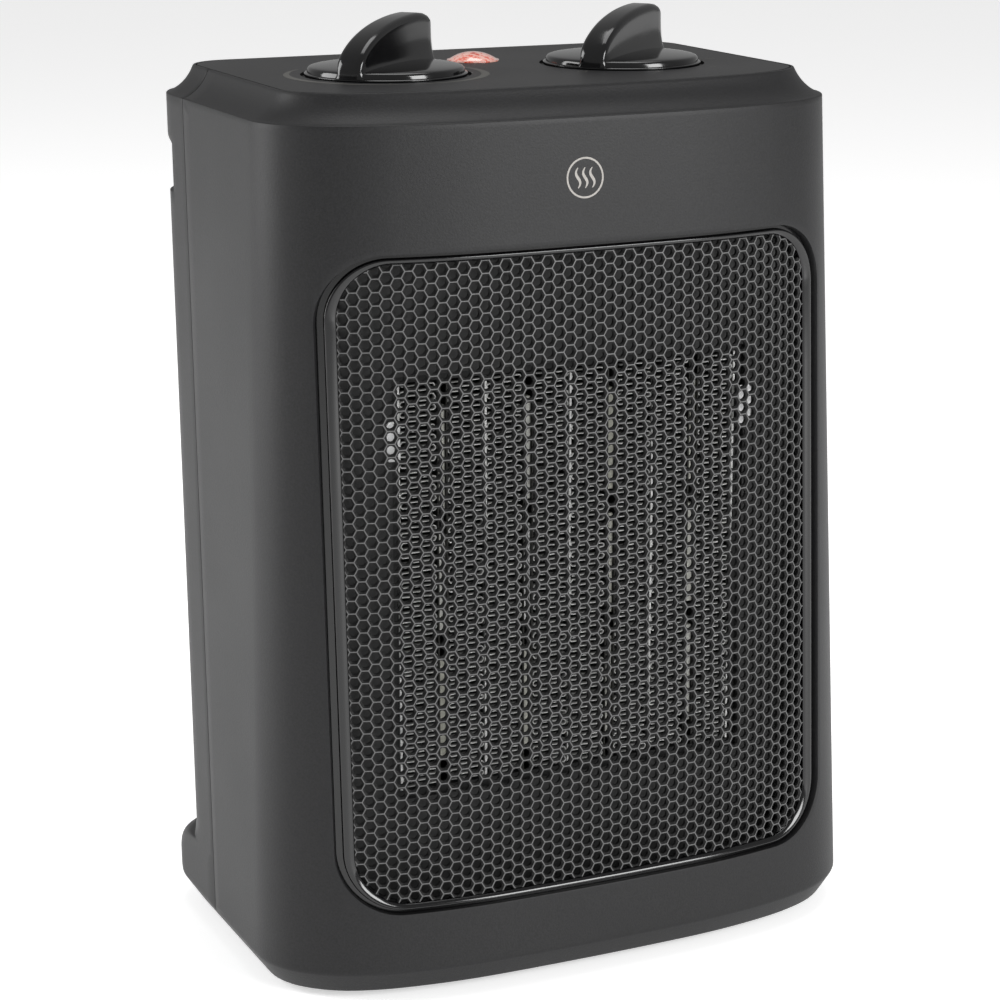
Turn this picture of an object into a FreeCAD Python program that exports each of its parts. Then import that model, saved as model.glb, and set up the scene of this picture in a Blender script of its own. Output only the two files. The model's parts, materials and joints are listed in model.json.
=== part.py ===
import FreeCAD, Part
import math
import os
from FreeCAD import Vector

# A table-top ceramic heater.  Millimetres, +Z up, the front faces -Y, the feet stand on z = 0, and
# x = y = 0 is the middle of the overall box.  The casing leans back: its rear leans more than its front.

# ---------------------------------------------------------------------------- casing
HALF_WIDTH_TOP = 85.0        # at the top of the side walls
HALF_WIDTH_BASE = 91.5       # at the foot of the side walls
OVERALL_DEPTH = 127.0        # front foot to rear top
FRONT_LEAN = 11.0            # how far back the front wall leans over its height
REAR_LEAN = 28.0             # the same for the rear wall
BASE_Z = 2.5                 # underside of the casing
WALL_BOTTOM = 9.5            # top of the base chamfer
WALL_TOP = 238.5             # foot of the cove round the top
COVE_Z = 241.6               # middle of the cove
RIM_Z = 246.2                # rim round the control panel
BASE_INSET = 4.2
COVE_INSET = 4.9
RIM_INSET = 7.8
WALL = 2.5
REAR_CORNER_R = 21.0
FRONT_SPANS = (0.32, 0.32, 0.14, 0.16)    # shares of the half width; the corner arc takes the rest
FRONT_TURNS = (1.8, 11.0, 21.1, 49.5)     # degrees that the front has turned at the end of each
SEAM_FROM_REAR = 32.0        # the two shells meet on a plane parallel to the rear wall

# ---------------------------------------------------------------------------- front window and grille
WINDOW_HALF = 76.0
WINDOW_LOW = 25.5
WINDOW_HIGH = 205.5
WINDOW_R = 18.0
BEZEL_WIDTH = 3.4
BEZEL_RECESS = 0.7
BEZEL_DEPTH = 4.0
GRILLE_RECESS = 1.7
GRILLE_THICK = 1.4
SLOT_ROWS = 28
SLOT_COLUMNS = 4
SLOT_SHARE = 0.62            # open share of a slot's pitch
FIT_GAP = 0.2                # between fixed pieces that drop into each other

# ---------------------------------------------------------------------------- heating element
CENTRE_Z = 111.5             # of the element, the duct and the fan
MODULES = 4
MODULE_PITCH = 25.6
ELEMENT_HEIGHT = 115.0
ELEMENT_DEPTH = 13.0
PLATE_THICK = 0.6
STONE_THICK = 2.2
STONES_PER_STRIP = 3
STONE_GAP = 7.0
ELECTRODE_THICK = 0.45
BAFFLE_Y = -42.0
BAFFLE_THICK = 1.5
BAFFLE_HALF = 71.0
BAFFLE_BOLT_X = 50.0
BAFFLE_OVERLAP = 4.0         # beyond the window, top and bottom
BAFFLE_RING = 2.2            # open gap round the element
FRAME_WALL = 3.0
FRAME_FLANGE = 8.0
FLANGE_THICK = 2.0
SPACER_R = 3.4

# ---------------------------------------------------------------------------- duct, fan and motor
DUCT_LENGTH = 18.5           # box part, behind the element
DUCT_TUBE = 22.0             # round part
DUCT_WALL = 2.0
FAN_R = 44.0
TIP_GAP = 2.5
FAN_Y = -3.0                 # front of the hub
ROOT_PITCH = 52.0            # blade angles, degrees from the fan's plane
TIP_PITCH = 28.0
HUB_R = 13.0
HUB_WALL = 2.0
HUB_LENGTH = 15.0
BLADES = 7
BLADE_THICK = 1.5
BLADE_CHORD = 21.0
SHAFT_R = 2.0
BEARING_CLEARANCE = 0.03
STRAP_THICK = 1.2
STRAP_WIDTH = 14.0
ROTOR_R = 11.0
AIR_GAP = 0.4
STATOR_LENGTH = 14.0
STATOR_GAP = 5.0             # from the strap to the laminations
STATOR_HALF = 26.0
STATOR_DROP = 37.0           # from the shaft to the foot of the laminations
STATOR_POLE = 8.0            # width of the legs and of the pole ring's foot
STATOR_CROWN = 6.0           # of the pole ring over the rotor
STATOR_FOOT = 9.0            # height of the leg that the coil sits on
BOBBIN_WALL = 1.2
BOBBIN_HALF = 8.0
CHEEK = 1.5
COIL_BELOW_LIP = 0.35
BRIDGE_THICK = 1.5
BEARING_R = 4.5
BEARING_LENGTH = 5.0

# ---------------------------------------------------------------------------- controls
KNOB_X = 36.3
KNOB_Y = 1.5
KNOB_R = 22.5
KNOB_DISC = 2.6
KNOB_GAP = 0.5               # under the disc
KNOB_RECESS = 0.9
BLADE_WIDTH = 8.4
GRIP_HEIGHT = 13.4           # above the disc
GRIP_FRONT = 0.6             # the grip stops this far inside the disc, in front and at the back
GRIP_BACK = 1.8
GRIP_CREST = 7.0             # length of its nearly level crest
GRIP_DROP = 1.2              # fall of the crest to the back
POINTER_ANGLE = 220.0        # degrees from +X, seen from above
PANEL_THICK = 2.5
PANEL_RIM = 0.9              # rim left round the control panel
PANEL_LEDGE = 1.8            # width of the shelf that carries it
PANEL_GAP = 0.35             # gap that shows round it
SPINDLE_R = 3.0
SPINDLE_CLEARANCE = 0.05
SWITCH_HALF = 13.0
SWITCH_HEIGHT = 15.0
THERMOSTAT_LENGTH = 34.0
THERMOSTAT_WIDTH = 16.0
LENS_Y = 24.0
LENS_R = 7.5
LENS_DOME = 2.6
LAMP_R = 3.0
LAMP_LENGTH = 15.0

# ---------------------------------------------------------------------------- rear, base and safety
POCKET_HALF = 46.0
POCKET_DEPTH = 17.0
GRIP_LOW = 211.5
GRIP_HIGH = 224.0
GROOVE_DEPTH = 4.2
GROOVE_REACH = 17.0          # how far round the rear corner the groove runs
INTAKE_HALF = 52.0
INTAKE_LOW = 62.0
INTAKE_SLOTS = 17
INTAKE_PITCH = 6.0
INTAKE_OPEN = 3.0
BAR_PROUD = 12.5
BAR_TOP = 24.0
BAR_FLAT = (11.0, 16.0)
BAR_CORNER_R = 17.0
BASE_THICK = 2.2
FOOT_R = 7.0
FOOT_X = 68.0
FRONT_FOOT_Y = -40.0
REAR_FOOT_Y = 37.5
GLAND_X = 58.0
GLAND_Z = 46.0
GLAND_R = 6.0
CORD_HOLE_R = 3.6
PLUNGER_R = 3.5
PLUNGER_X = -28.0
PLUNGER_Y = -8.0
PLUNGER_TRAVEL = 4.0
PLUNGER_LENGTH = 17.0
SLIDE_CLEARANCE = 0.3
SPRING_WIRE = 0.35
SPRING_TURNS = 5
LEVER_ARM = 18.0
LEVER_THICK = 0.5

# ---------------------------------------------------------------------------- fasteners
POST_R = 3.6
SCREW_R = 1.5
HEAD_R = 2.9
HEAD_HEIGHT = 2.0
POST_X = 75.0
POST_Y = -22.0
POST_LOW = 36.0
POST_HIGH = 197.0
BASE_POST_X = 73.0
BASE_POST_FRONT = -20.0
BASE_POST_REAR = 19.0
BASE_POST_TOP = 16.0
RIB = 2.4

# ---------------------------------------------------------------------------- details
BAFFLE_SCREW = 8.0
BASE_SCREW = 10.0
POST_GRIP = 12.0             # screw length in the front posts
POST_FLOOR = 4.0             # solid part of a rear post, under the screw's head
GLAND_BOSS = 6.0
GLAND_BOSS_PROUD = 1.5
FOOT_SEAT = 1.2              # how far a foot's plug goes into the base
FOOT_LIP = 2.0
GUIDE_TOP = BASE_Z + 6.0
CLIP_Z = 154.0
CLIP_HEIGHT = 11.0
CLIP_REACH = 1.8
CLIP_DEPTH = 6.0
STONE_TRIM = 0.8
EAR = 16.0
STRAP_SCREW = 6.0
BRIDGE_BOLT = 18.0
BOBBIN_LIP = 3.6
BRIDGE_HALF = 6.0
SHADING_HALF = 4.6
CONTROL_BOLT = 8.5
COUNTERSINK = 1.0
SPINDLE_IN_KNOB = 6.0
CONTROL_SCREW = 6.0
LAMP_BELOW_PANEL = 1.4
CUTOUT_X = 30.0
PLUNGER_TIP = 0.2            # clear of the table at rest
COLLAR = 1.2
SPRING_HEIGHT = 7.0
LEVER_GAP = 0.6              # under the collar at rest
PIN_R = 0.6
EYE_R = 1.3
LEVER_HALF = 2.0
EAR_THICK = 1.0
WIRE_SIDES = 8               # the spring's wire is drawn with flats
SHADING_OUT = 3.2
SHADING_BAR = 1.2
BRIDGE_END = 4.0
SPACER_WALL = 1.2
TAB_HALF = 3.2
TAB_SET = 4.0
TAB_THICK = 0.8
TAB_HEIGHT = 10.0
SHAFT_END = 1.0
CUTOUT_CAN = 7.0
CUTOUT_R = 7.5
CUTOUT_STEP = 2.0
CUTOUT_HEIGHT = 11.0
FUSE_R = 2.0
FUSE_LENGTH = 12.0
COLLAR_REACH = 1.9           # beyond the guide, over the lever
SWITCH_LENGTH = 20.0
GLAND_FLANGE = 2.0
TERMINAL_SIZE = 12.0
TERMINAL_Y = -2.0
TERMINAL_BORE = 1.8
FOOT_ROUND = 0.8

X_AXIS = Vector(1, 0, 0)
Y_AXIS = Vector(0, 1, 0)
Z_AXIS = Vector(0, 0, 1)
FAR = 400.0


# ============================================================================ small helpers
def block(x0, x1, y0, y1, z0, z1):
    """A box between two corners."""
    return Part.makeBox(x1 - x0, y1 - y0, z1 - z0, Vector(x0, y0, z0))


def rod_y(x, z, y0, y1, radius):
    """A cylinder along Y."""
    return Part.makeCylinder(radius, y1 - y0, Vector(x, y0, z), Y_AXIS)


def rod_z(x, y, z0, z1, radius):
    """A cylinder along Z."""
    return Part.makeCylinder(radius, z1 - z0, Vector(x, y, z0), Z_AXIS)


def join(shapes):
    """One solid out of pieces that share volume."""
    return shapes[0].multiFuse(shapes[1:]).removeSplitter()


def group(shapes):
    """Separate like solids in one node."""
    return Part.makeCompound(shapes)


def line(a, b):
    return Part.LineSegment(a, b).toShape()


def arc(a, b, c):
    return Part.Arc(a, b, c).toShape()


def rounded_prism(half, low, high, radius, y0, y1):
    """A prism along Y whose section is a rectangle with round corners."""
    diagonal = radius * (1 - math.sqrt(0.5))
    edges = []
    for sx, sz, x, z in ((1, 1, half, high), (-1, 1, -half, high), (-1, -1, -half, low), (1, -1, half, low)):
        beside = Vector(x, y0, z - sz * radius)
        corner = Vector(x - sx * diagonal, y0, z - sz * diagonal)
        above = Vector(x - sx * radius, y0, z)
        edges.append((beside, corner, above) if sx * sz > 0 else (above, corner, beside))
    loop = []
    for i, (start, middle, end) in enumerate(edges):
        loop.append(arc(start, middle, end))
        loop.append(line(end, edges[(i + 1) % 4][0]))
    return Part.Face(Part.Wire(loop)).extrude(Vector(0, y1 - y0, 0))


def screw_y(x, z, y_head, length, way):
    """A pan-head screw along Y: way is +1 or -1, from its head to its tip."""
    head = Part.makeCylinder(HEAD_R, HEAD_HEIGHT, Vector(x, y_head, z), Vector(0, -way, 0))
    shank = Part.makeCylinder(SCREW_R, length, Vector(x, y_head, z), Vector(0, way, 0))
    return join([head, shank])


def screw_z(x, y, z_head, length, way):
    """The same along Z."""
    head = Part.makeCylinder(HEAD_R, HEAD_HEIGHT, Vector(x, y, z_head), Vector(0, 0, -way))
    shank = Part.makeCylinder(SCREW_R, length, Vector(x, y, z_head), Vector(0, 0, way))
    return join([head, shank])


# ============================================================================ casing outline
def share(z):
    """0 at the foot of the side walls, 1 at their top."""
    return (z - WALL_BOTTOM) / (WALL_TOP - WALL_BOTTOM)


def half_width(z):
    return HALF_WIDTH_BASE + (HALF_WIDTH_TOP - HALF_WIDTH_BASE) * share(z)


def front_y(z):
    return -OVERALL_DEPTH / 2 + FRONT_LEAN * share(z)


def rear_y(z):
    return OVERALL_DEPTH / 2 - REAR_LEAN * (1 - share(z))


def outline(half, y_front, y_rear, z, inset, rear_radius):
    """Closed outline at height z: tangent arcs each side of the middle, a straight side, a round rear
    corner and a straight rear, all moved inwards by inset."""
    turns = [0.0] + [math.radians(t) for t in FRONT_TURNS] + [math.pi / 2]
    spans = [half * s for s in FRONT_SPANS]
    spans.append(half - sum(spans))
    x, y = 0.0, y_front + inset
    stations = [(x, y, x, y)]
    for i, span in enumerate(spans):
        t0, t1 = turns[i], turns[i + 1]
        radius = span / (math.sin(t1) - math.sin(t0)) - inset
        cx, cy = x - radius * math.sin(t0), y + radius * math.cos(t0)
        tm = (t0 + t1) / 2
        mid = (cx + radius * math.sin(tm), cy - radius * math.cos(tm))
        x, y = cx + radius * math.sin(t1), cy - radius * math.cos(t1)
        stations.append((mid[0], mid[1], x, y))

    def at(px, py):
        return Vector(px, py, z)

    rear = y_rear - inset
    corner = rear_radius - inset
    bulge = corner * math.sqrt(0.5)
    side = x
    s = stations
    edges = [arc(at(-s[1][2], s[1][3]), at(0, s[0][1]), at(s[1][2], s[1][3]))]
    for i in range(2, len(s)):
        edges.append(arc(at(s[i - 1][2], s[i - 1][3]), at(s[i][0], s[i][1]), at(s[i][2], s[i][3])))
    edges.append(line(at(side, y), at(side, rear - corner)))
    edges.append(arc(at(side, rear - corner), at(side - corner + bulge, rear - corner + bulge),
                     at(side - corner, rear)))
    edges.append(line(at(side - corner, rear), at(corner - side, rear)))
    edges.append(arc(at(corner - side, rear), at(corner - side - bulge, rear - corner + bulge),
                     at(-side, rear - corner)))
    edges.append(line(at(-side, rear - corner), at(-side, y)))
    for i in range(len(s) - 1, 1, -1):
        edges.append(arc(at(-s[i][2], s[i][3]), at(-s[i][0], s[i][1]), at(-s[i - 1][2], s[i - 1][3])))
    return Part.Wire(edges)


def section(z, inset):
    """The casing's outline at height z."""
    return outline(half_width(z), front_y(z), rear_y(z), z, inset, REAR_CORNER_R)


def loft(wires):
    return Part.makeLoft(wires, True, True)


def casing(inset, past_ends=0.0, ledge=0.0):
    """The whole outer form, moved inwards by inset, and by ledge more at the top; past_ends makes a
    cutter that runs out of it."""
    top_inset = RIM_INSET + inset + ledge
    wires = [section(BASE_Z, BASE_INSET + inset), section(WALL_BOTTOM, inset), section(WALL_TOP, inset),
             section(COVE_Z, COVE_INSET + inset + ledge), section(RIM_Z, top_inset)]
    if past_ends:
        low = section(BASE_Z, BASE_INSET + inset)
        low.translate(Vector(0, 0, -past_ends))
        high = section(RIM_Z, top_inset)
        high.translate(Vector(0, 0, past_ends))
        wires = [low] + wires + [high]
    return loft(wires)


def wall_slab(inset, z0, z1):
    """A stretch of the side walls' form, moved inwards by inset."""
    return loft([section(z0, inset), section(z1, inset)])


def behind(y_at, z0=-FAR, z1=FAR):
    """The half space behind a sloping plane, as a prism along X; y_at gives the plane's y at z."""
    face = Part.Face(Part.makePolygon([Vector(-FAR, y_at(z0), z0), Vector(-FAR, y_at(z1), z1),
                                       Vector(-FAR, FAR, z1), Vector(-FAR, FAR, z0),
                                       Vector(-FAR, y_at(z0), z0)]))
    return face.extrude(Vector(2 * FAR, 0, 0))


def seam_y(z):
    return rear_y(z) - SEAM_FROM_REAR


# ============================================================================ casing shells
def foot_bar(inset):
    """The bar across the rear at the base, that stops the heater tipping back."""
    half = half_width(WALL_BOTTOM) - FIT_GAP
    rear = rear_y(WALL_BOTTOM)
    front = rear - REAR_CORNER_R - WALL
    levels = ((BASE_Z + inset, BASE_INSET, BAR_PROUD - BASE_INSET), (BAR_FLAT[0], 0.0, BAR_PROUD),
              (BAR_FLAT[1], 0.0, BAR_PROUD), (BAR_TOP - inset, 0.0, 0.0))
    wires = []
    for z, tuck, proud in levels:
        y1 = rear + proud - inset
        x1 = half - tuck - inset
        r = BAR_CORNER_R - inset
        b = r * (1 - math.sqrt(0.5))
        wires.append(Part.Wire([
            line(Vector(-x1, front, z), Vector(x1, front, z)),
            line(Vector(x1, front, z), Vector(x1, y1 - r, z)),
            arc(Vector(x1, y1 - r, z), Vector(x1 - b, y1 - b, z), Vector(x1 - r, y1, z)),
            line(Vector(x1 - r, y1, z), Vector(r - x1, y1, z)),
            arc(Vector(r - x1, y1, z), Vector(b - x1, y1 - b, z), Vector(-x1, y1 - r, z)),
            line(Vector(-x1, y1 - r, z), Vector(-x1, front, z))]))
    return loft(wires)


def grip_tool(grow):
    """What the finger pocket and the groove round the rear take away; grow adds a wall round them."""
    low, high = GRIP_LOW - grow, GRIP_HIGH + grow
    rear = rear_y(GRIP_HIGH)
    band = wall_slab(-WALL, low, high).cut(wall_slab(GROOVE_DEPTH + grow, low - 1, high + 1))
    band = band.common(behind(lambda z: rear_y(z) - GROOVE_REACH))
    pocket = block(-POCKET_HALF - grow, POCKET_HALF + grow, rear - POCKET_DEPTH - grow, rear + WALL, low, high)
    return join([band, pocket])


def posts_along_y(z_heights, y0, y1):
    """Screw posts beside the side walls, each with a rib to the wall; y0 and y1 are functions of z."""
    made = []
    for z in z_heights:
        for way in (-1, 1):
            x = way * POST_X
            made.append(rod_y(x, z, y0(z), y1(z), POST_R))
            reach = way * (half_width(z) - WALL / 2)
            made.append(block(min(x, reach), max(x, reach), y0(z), y1(z), z - RIB / 2, z + RIB / 2))
    return made


def base_posts(y):
    """Upright posts that take the base screws, with ribs to the side walls."""
    made = []
    z0 = BASE_Z + BASE_THICK
    for way in (-1, 1):
        x = way * BASE_POST_X
        reach = way * (half_width(BASE_POST_TOP) - WALL / 2)
        made.append(rod_z(x, y, z0, BASE_POST_TOP, POST_R))
        made.append(block(min(x, reach), max(x, reach), y - RIB / 2, y + RIB / 2,
                          WALL_BOTTOM, BASE_POST_TOP))
    return made


def baffle_bolts():
    """Where the baffle is screwed to the front shell."""
    z_top = WINDOW_HIGH + BAFFLE_OVERLAP / 2 + POST_R
    z_low = WINDOW_LOW - BAFFLE_OVERLAP / 4 - POST_R
    return [(sx * BAFFLE_BOLT_X, z) for sx in (-1, 1) for z in (z_low, z_top)]


def shell():
    """The hollow casing before it is split."""
    outer = join([casing(0.0), foot_bar(0.0)])
    hollow = join([casing(WALL, past_ends=WALL, ledge=PANEL_LEDGE), foot_bar(WALL)])
    hollow = hollow.cut(grip_tool(WALL))
    made = outer.cut(hollow).cut(grip_tool(0.0))
    panel_seat = section(RIM_Z, RIM_INSET + PANEL_RIM)
    panel_seat.translate(Vector(0, 0, -PANEL_THICK))
    return made.cut(Part.Face(panel_seat).extrude(Vector(0, 0, 2 * PANEL_THICK)))


def front_housing(whole):
    made = whole.cut(behind(seam_y))
    inner_face = [rod_y(x, z, front_y(z), BAFFLE_Y, POST_R) for x, z in baffle_bolts()]
    extra = inner_face + base_posts(BASE_POST_FRONT)
    extra += posts_along_y((POST_LOW, POST_HIGH), lambda z: POST_Y, lambda z: seam_y(z) + POST_R)
    extra = [e.common(casing(WALL / 2)).cut(behind(seam_y)) for e in extra]
    made = join([made] + extra)
    made = made.cut(rounded_prism(WINDOW_HALF, WINDOW_LOW, WINDOW_HIGH, WINDOW_R,
                                  -OVERALL_DEPTH, POST_Y - FIT_GAP))
    holes = [rod_y(x, z, BAFFLE_Y - BAFFLE_SCREW, BAFFLE_Y, SCREW_R) for x, z in baffle_bolts()]
    holes += [rod_z(s * BASE_POST_X, BASE_POST_FRONT, BASE_Z, BASE_Z + BASE_SCREW, SCREW_R) for s in (-1, 1)]
    for z in (POST_LOW, POST_HIGH):
        holes += [rod_y(s * POST_X, z, seam_y(z) - POST_GRIP, seam_y(z) + POST_R, SCREW_R) for s in (-1, 1)]
    return made.cut(holes)


def rear_housing(whole):
    made = whole.common(behind(seam_y))
    extra = posts_along_y((POST_LOW, POST_HIGH), lambda z: seam_y(z) - POST_R, rear_y)
    extra += base_posts(BASE_POST_REAR)
    boss_y = rear_y(GLAND_Z)
    extra = [e.common(casing(WALL / 2)).common(behind(seam_y)) for e in extra]
    extra.append(rod_y(GLAND_X, GLAND_Z, boss_y - GLAND_BOSS, boss_y + GLAND_BOSS_PROUD, GLAND_R + WALL))
    made = join([made] + extra)
    cuts = [rod_y(GLAND_X, GLAND_Z, 0, FAR, GLAND_R + FIT_GAP)]
    for z in (POST_LOW, POST_HIGH):
        for s in (-1, 1):
            seat = seam_y(z) + POST_FLOOR
            cuts.append(rod_y(s * POST_X, z, seam_y(z) - 1, seat + 1, SCREW_R + FIT_GAP))
            cuts.append(rod_y(s * POST_X, z, seat, FAR, HEAD_R + FIT_GAP))
    for s in (-1, 1):
        cuts.append(rod_z(s * BASE_POST_X, BASE_POST_REAR, BASE_Z, BASE_Z + BASE_SCREW, SCREW_R))
        cuts.append(rod_z(s * FOOT_X, REAR_FOOT_Y, BASE_Z - 1, BASE_Z + FOOT_SEAT, FOOT_R - FOOT_LIP + FIT_GAP))
    for i in range(INTAKE_SLOTS):
        z = INTAKE_LOW + i * INTAKE_PITCH
        y0 = rear_y(z) - WALL - 1.5
        cuts.append(block(-INTAKE_HALF, INTAKE_HALF, y0, FAR, z, z + INTAKE_OPEN))
    return made.cut(cuts)


def base_plate():
    """Floor between the shells, with the hole for the tip-over plunger."""
    low = section(BASE_Z, BASE_INSET + WALL + FIT_GAP)
    plate = Part.Face(low).extrude(Vector(0, 0, BASE_THICK))
    tower = rod_z(PLUNGER_X, PLUNGER_Y, BASE_Z, GUIDE_TOP, guide_r())
    made = join([plate, tower])
    cuts = [rod_z(PLUNGER_X, PLUNGER_Y, 0, FAR, PLUNGER_R + SLIDE_CLEARANCE)]
    for s in (-1, 1):
        for y in (FRONT_FOOT_Y, REAR_FOOT_Y):
            cuts.append(rod_z(s * FOOT_X, y, BASE_Z - 1, BASE_Z + FOOT_SEAT,
                              FOOT_R - FOOT_LIP + FIT_GAP))
        for y in (BASE_POST_FRONT, BASE_POST_REAR):
            cuts.append(rod_z(s * BASE_POST_X, y, 0, FAR, SCREW_R + FIT_GAP))
    return made.cut(cuts)


# ============================================================================ grille, bezel and baffle
def bezel():
    """Curved frame round the grille, set into the window."""
    z0, z1 = WINDOW_LOW - WALL, WINDOW_HIGH + WALL
    band = wall_slab(BEZEL_RECESS, z0, z1).cut(wall_slab(BEZEL_RECESS + BEZEL_DEPTH, z0 - 1, z1 + 1))
    gap = FIT_GAP
    outer = rounded_prism(WINDOW_HALF - gap, WINDOW_LOW + gap, WINDOW_HIGH - gap, WINDOW_R - gap,
                          -OVERALL_DEPTH, POST_Y)
    inside = BEZEL_WIDTH + gap
    inner = rounded_prism(WINDOW_HALF - inside, WINDOW_LOW + inside, WINDOW_HIGH - inside,
                          WINDOW_R - inside, -OVERALL_DEPTH - 1, POST_Y + 1)
    return band.common(outer.cut(inner))


def grille():
    """Curved guard in the bezel, open in rows of slots."""
    z0, z1 = WINDOW_LOW - WALL, WINDOW_HIGH + WALL
    band = wall_slab(GRILLE_RECESS, z0, z1).cut(wall_slab(GRILLE_RECESS + GRILLE_THICK, z0 - 1, z1 + 1))
    inside = BEZEL_WIDTH + FIT_GAP
    half = WINDOW_HALF - inside
    low, high = WINDOW_LOW + inside, WINDOW_HIGH - inside
    made = band.common(rounded_prism(half, low, high, WINDOW_R - inside, -OVERALL_DEPTH, POST_Y))
    margin = WINDOW_R - inside
    row = (high - low - 2 * margin / 3) / SLOT_ROWS
    column = (2 * half - margin) / SLOT_COLUMNS
    slots = []
    for i in range(SLOT_ROWS):
        z = low + margin / 3 + (i + 0.5) * row
        for j in range(SLOT_COLUMNS):
            x = (j + 0.5 - SLOT_COLUMNS / 2) * column
            reach = column / 2 - GRILLE_THICK
            slots.append(block(x - reach, x + reach, -OVERALL_DEPTH, POST_Y,
                               z - row * SLOT_SHARE / 2, z + row * SLOT_SHARE / 2))
    return made.cut(slots)


def element_half():
    return MODULES * MODULE_PITCH / 2 + PLATE_THICK / 2


def baffle():
    """Flat panel behind the grille with an opening for the element, trimmed to clear the bezel."""
    low, high = WINDOW_LOW - 2 * POST_R, WINDOW_HIGH + BAFFLE_OVERLAP / 2 + 2 * POST_R
    made = rounded_prism(BAFFLE_HALF, low, high, WINDOW_R / 2, BAFFLE_Y, BAFFLE_Y + BAFFLE_THICK)
    made = made.common(wall_slab(BEZEL_RECESS + BEZEL_DEPTH + FIT_GAP, low - 1, high + 1))
    half = element_half() + BAFFLE_RING
    tall = ELEMENT_HEIGHT / 2 + BAFFLE_RING
    made = made.cut(block(-half, half, -FAR, FAR, CENTRE_Z - tall, CENTRE_Z + tall))
    holes = [rod_y(x, z, -FAR, FAR, SCREW_R + FIT_GAP) for x, z in baffle_bolts()]
    holes += [rod_y(x, z, -FAR, FAR, SCREW_R) for x, z in frame_bolts()]
    return made.cut(holes)


# ============================================================================ heating element
def frame_bolts():
    """Corners where the duct, the element frame and the baffle are screwed together."""
    x = element_half() + FRAME_WALL + SPACER_R
    z = ELEMENT_HEIGHT / 2 + FRAME_WALL + SPACER_R
    return [(sx * x, CENTRE_Z + sz * z) for sx in (-1, 1) for sz in (-1, 1)]


def element_rear():
    return BAFFLE_Y + BAFFLE_THICK + ELEMENT_DEPTH + FLANGE_THICK


def element_frame():
    """Heat-proof moulding round the element."""
    y0, y1 = BAFFLE_Y + BAFFLE_THICK, element_rear()
    half, tall = element_half() + FIT_GAP, ELEMENT_HEIGHT / 2 + FIT_GAP
    out_x, out_z = half + FRAME_WALL, tall + FRAME_WALL
    flange = block(-out_x - FRAME_FLANGE, out_x + FRAME_FLANGE, y0, y0 + FLANGE_THICK,
                   CENTRE_Z - out_z - FRAME_FLANGE, CENTRE_Z + out_z + FRAME_FLANGE)
    walls = block(-out_x, out_x, y0, y1, CENTRE_Z - out_z, CENTRE_Z + out_z)
    spacers = [rod_y(x, z, y0, y1, SPACER_R) for x, z in frame_bolts()]
    made = join([flange, walls] + spacers)
    cuts = [block(-half, half, -FAR, FAR, CENTRE_Z - tall, CENTRE_Z + tall)]
    cuts += [rod_y(x, z, -FAR, FAR, SCREW_R + FIT_GAP) for x, z in frame_bolts()]
    for s in (-1, 1):
        x = s * (half + CLIP_REACH / 2)
        cuts.append(block(x - CLIP_REACH / 2 - FIT_GAP, x + CLIP_REACH / 2 + FIT_GAP, -FAR, y0 + CLIP_DEPTH,
                          CLIP_Z - CLIP_HEIGHT / 2 - FIT_GAP, CLIP_Z + CLIP_HEIGHT / 2 + FIT_GAP))
    return made.cut(cuts)


def element_clips():
    """Plated spring clips that hold the element in its frame, one each side."""
    made = []
    y0 = BAFFLE_Y + BAFFLE_THICK
    for s in (-1, 1):
        x = s * (element_half() + FIT_GAP + CLIP_REACH / 2)
        tongue = block(x - CLIP_REACH / 2, x + CLIP_REACH / 2, y0, y0 + CLIP_DEPTH,
                       CLIP_Z - CLIP_HEIGHT / 2, CLIP_Z + CLIP_HEIGHT / 2)
        made.append(tongue.cut(rod_y(x, CLIP_Z, -FAR, FAR, CLIP_REACH / 4)))
    return group(made)


def module_centres():
    return [(i + 0.5 - MODULES / 2) * MODULE_PITCH for i in range(MODULES)]


def stack_offsets():
    """Distances from a module's middle: stone face, electrode face, fin's outer face."""
    stone = STONE_THICK / 2
    electrode = stone + ELECTRODE_THICK
    fin = MODULE_PITCH / 2 - PLATE_THICK / 2
    return stone, electrode, fin


def element_slab(x0, x1, z0, z1, y_trim=0.0):
    y0 = BAFFLE_Y + BAFFLE_THICK + y_trim
    return block(x0, x1, y0, y0 + ELEMENT_DEPTH - 2 * y_trim, z0, z1)


def ptc_stones():
    """Four strips of three heating stones."""
    stone = stack_offsets()[0]
    height = (ELEMENT_HEIGHT - (STONES_PER_STRIP - 1) * STONE_GAP - 2 * STONE_GAP) / STONES_PER_STRIP
    made = []
    for x in module_centres():
        for i in range(STONES_PER_STRIP):
            z = CENTRE_Z - ELEMENT_HEIGHT / 2 + STONE_GAP + i * (height + STONE_GAP)
            made.append(element_slab(x - stone, x + stone, z, z + height, STONE_TRIM))
    return group(made)


def electrodes():
    """Thin aluminium strips each side of every row of stones."""
    stone, electrode, _ = stack_offsets()
    low, high = CENTRE_Z - ELEMENT_HEIGHT / 2, CENTRE_Z + ELEMENT_HEIGHT / 2
    made = []
    for x in module_centres():
        made.append(element_slab(x - electrode, x - stone, low, high))
        made.append(element_slab(x + stone, x + electrode, low, high))
    return group(made)


def fin_packs():
    """Eight columns of folded fins, each drawn as the block it fills."""
    _, electrode, fin = stack_offsets()
    low, high = CENTRE_Z - ELEMENT_HEIGHT / 2, CENTRE_Z + ELEMENT_HEIGHT / 2
    made = []
    for x in module_centres():
        made.append(element_slab(x - fin, x - electrode, low, high))
        made.append(element_slab(x + electrode, x + fin, low, high))
    return group(made)


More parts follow.
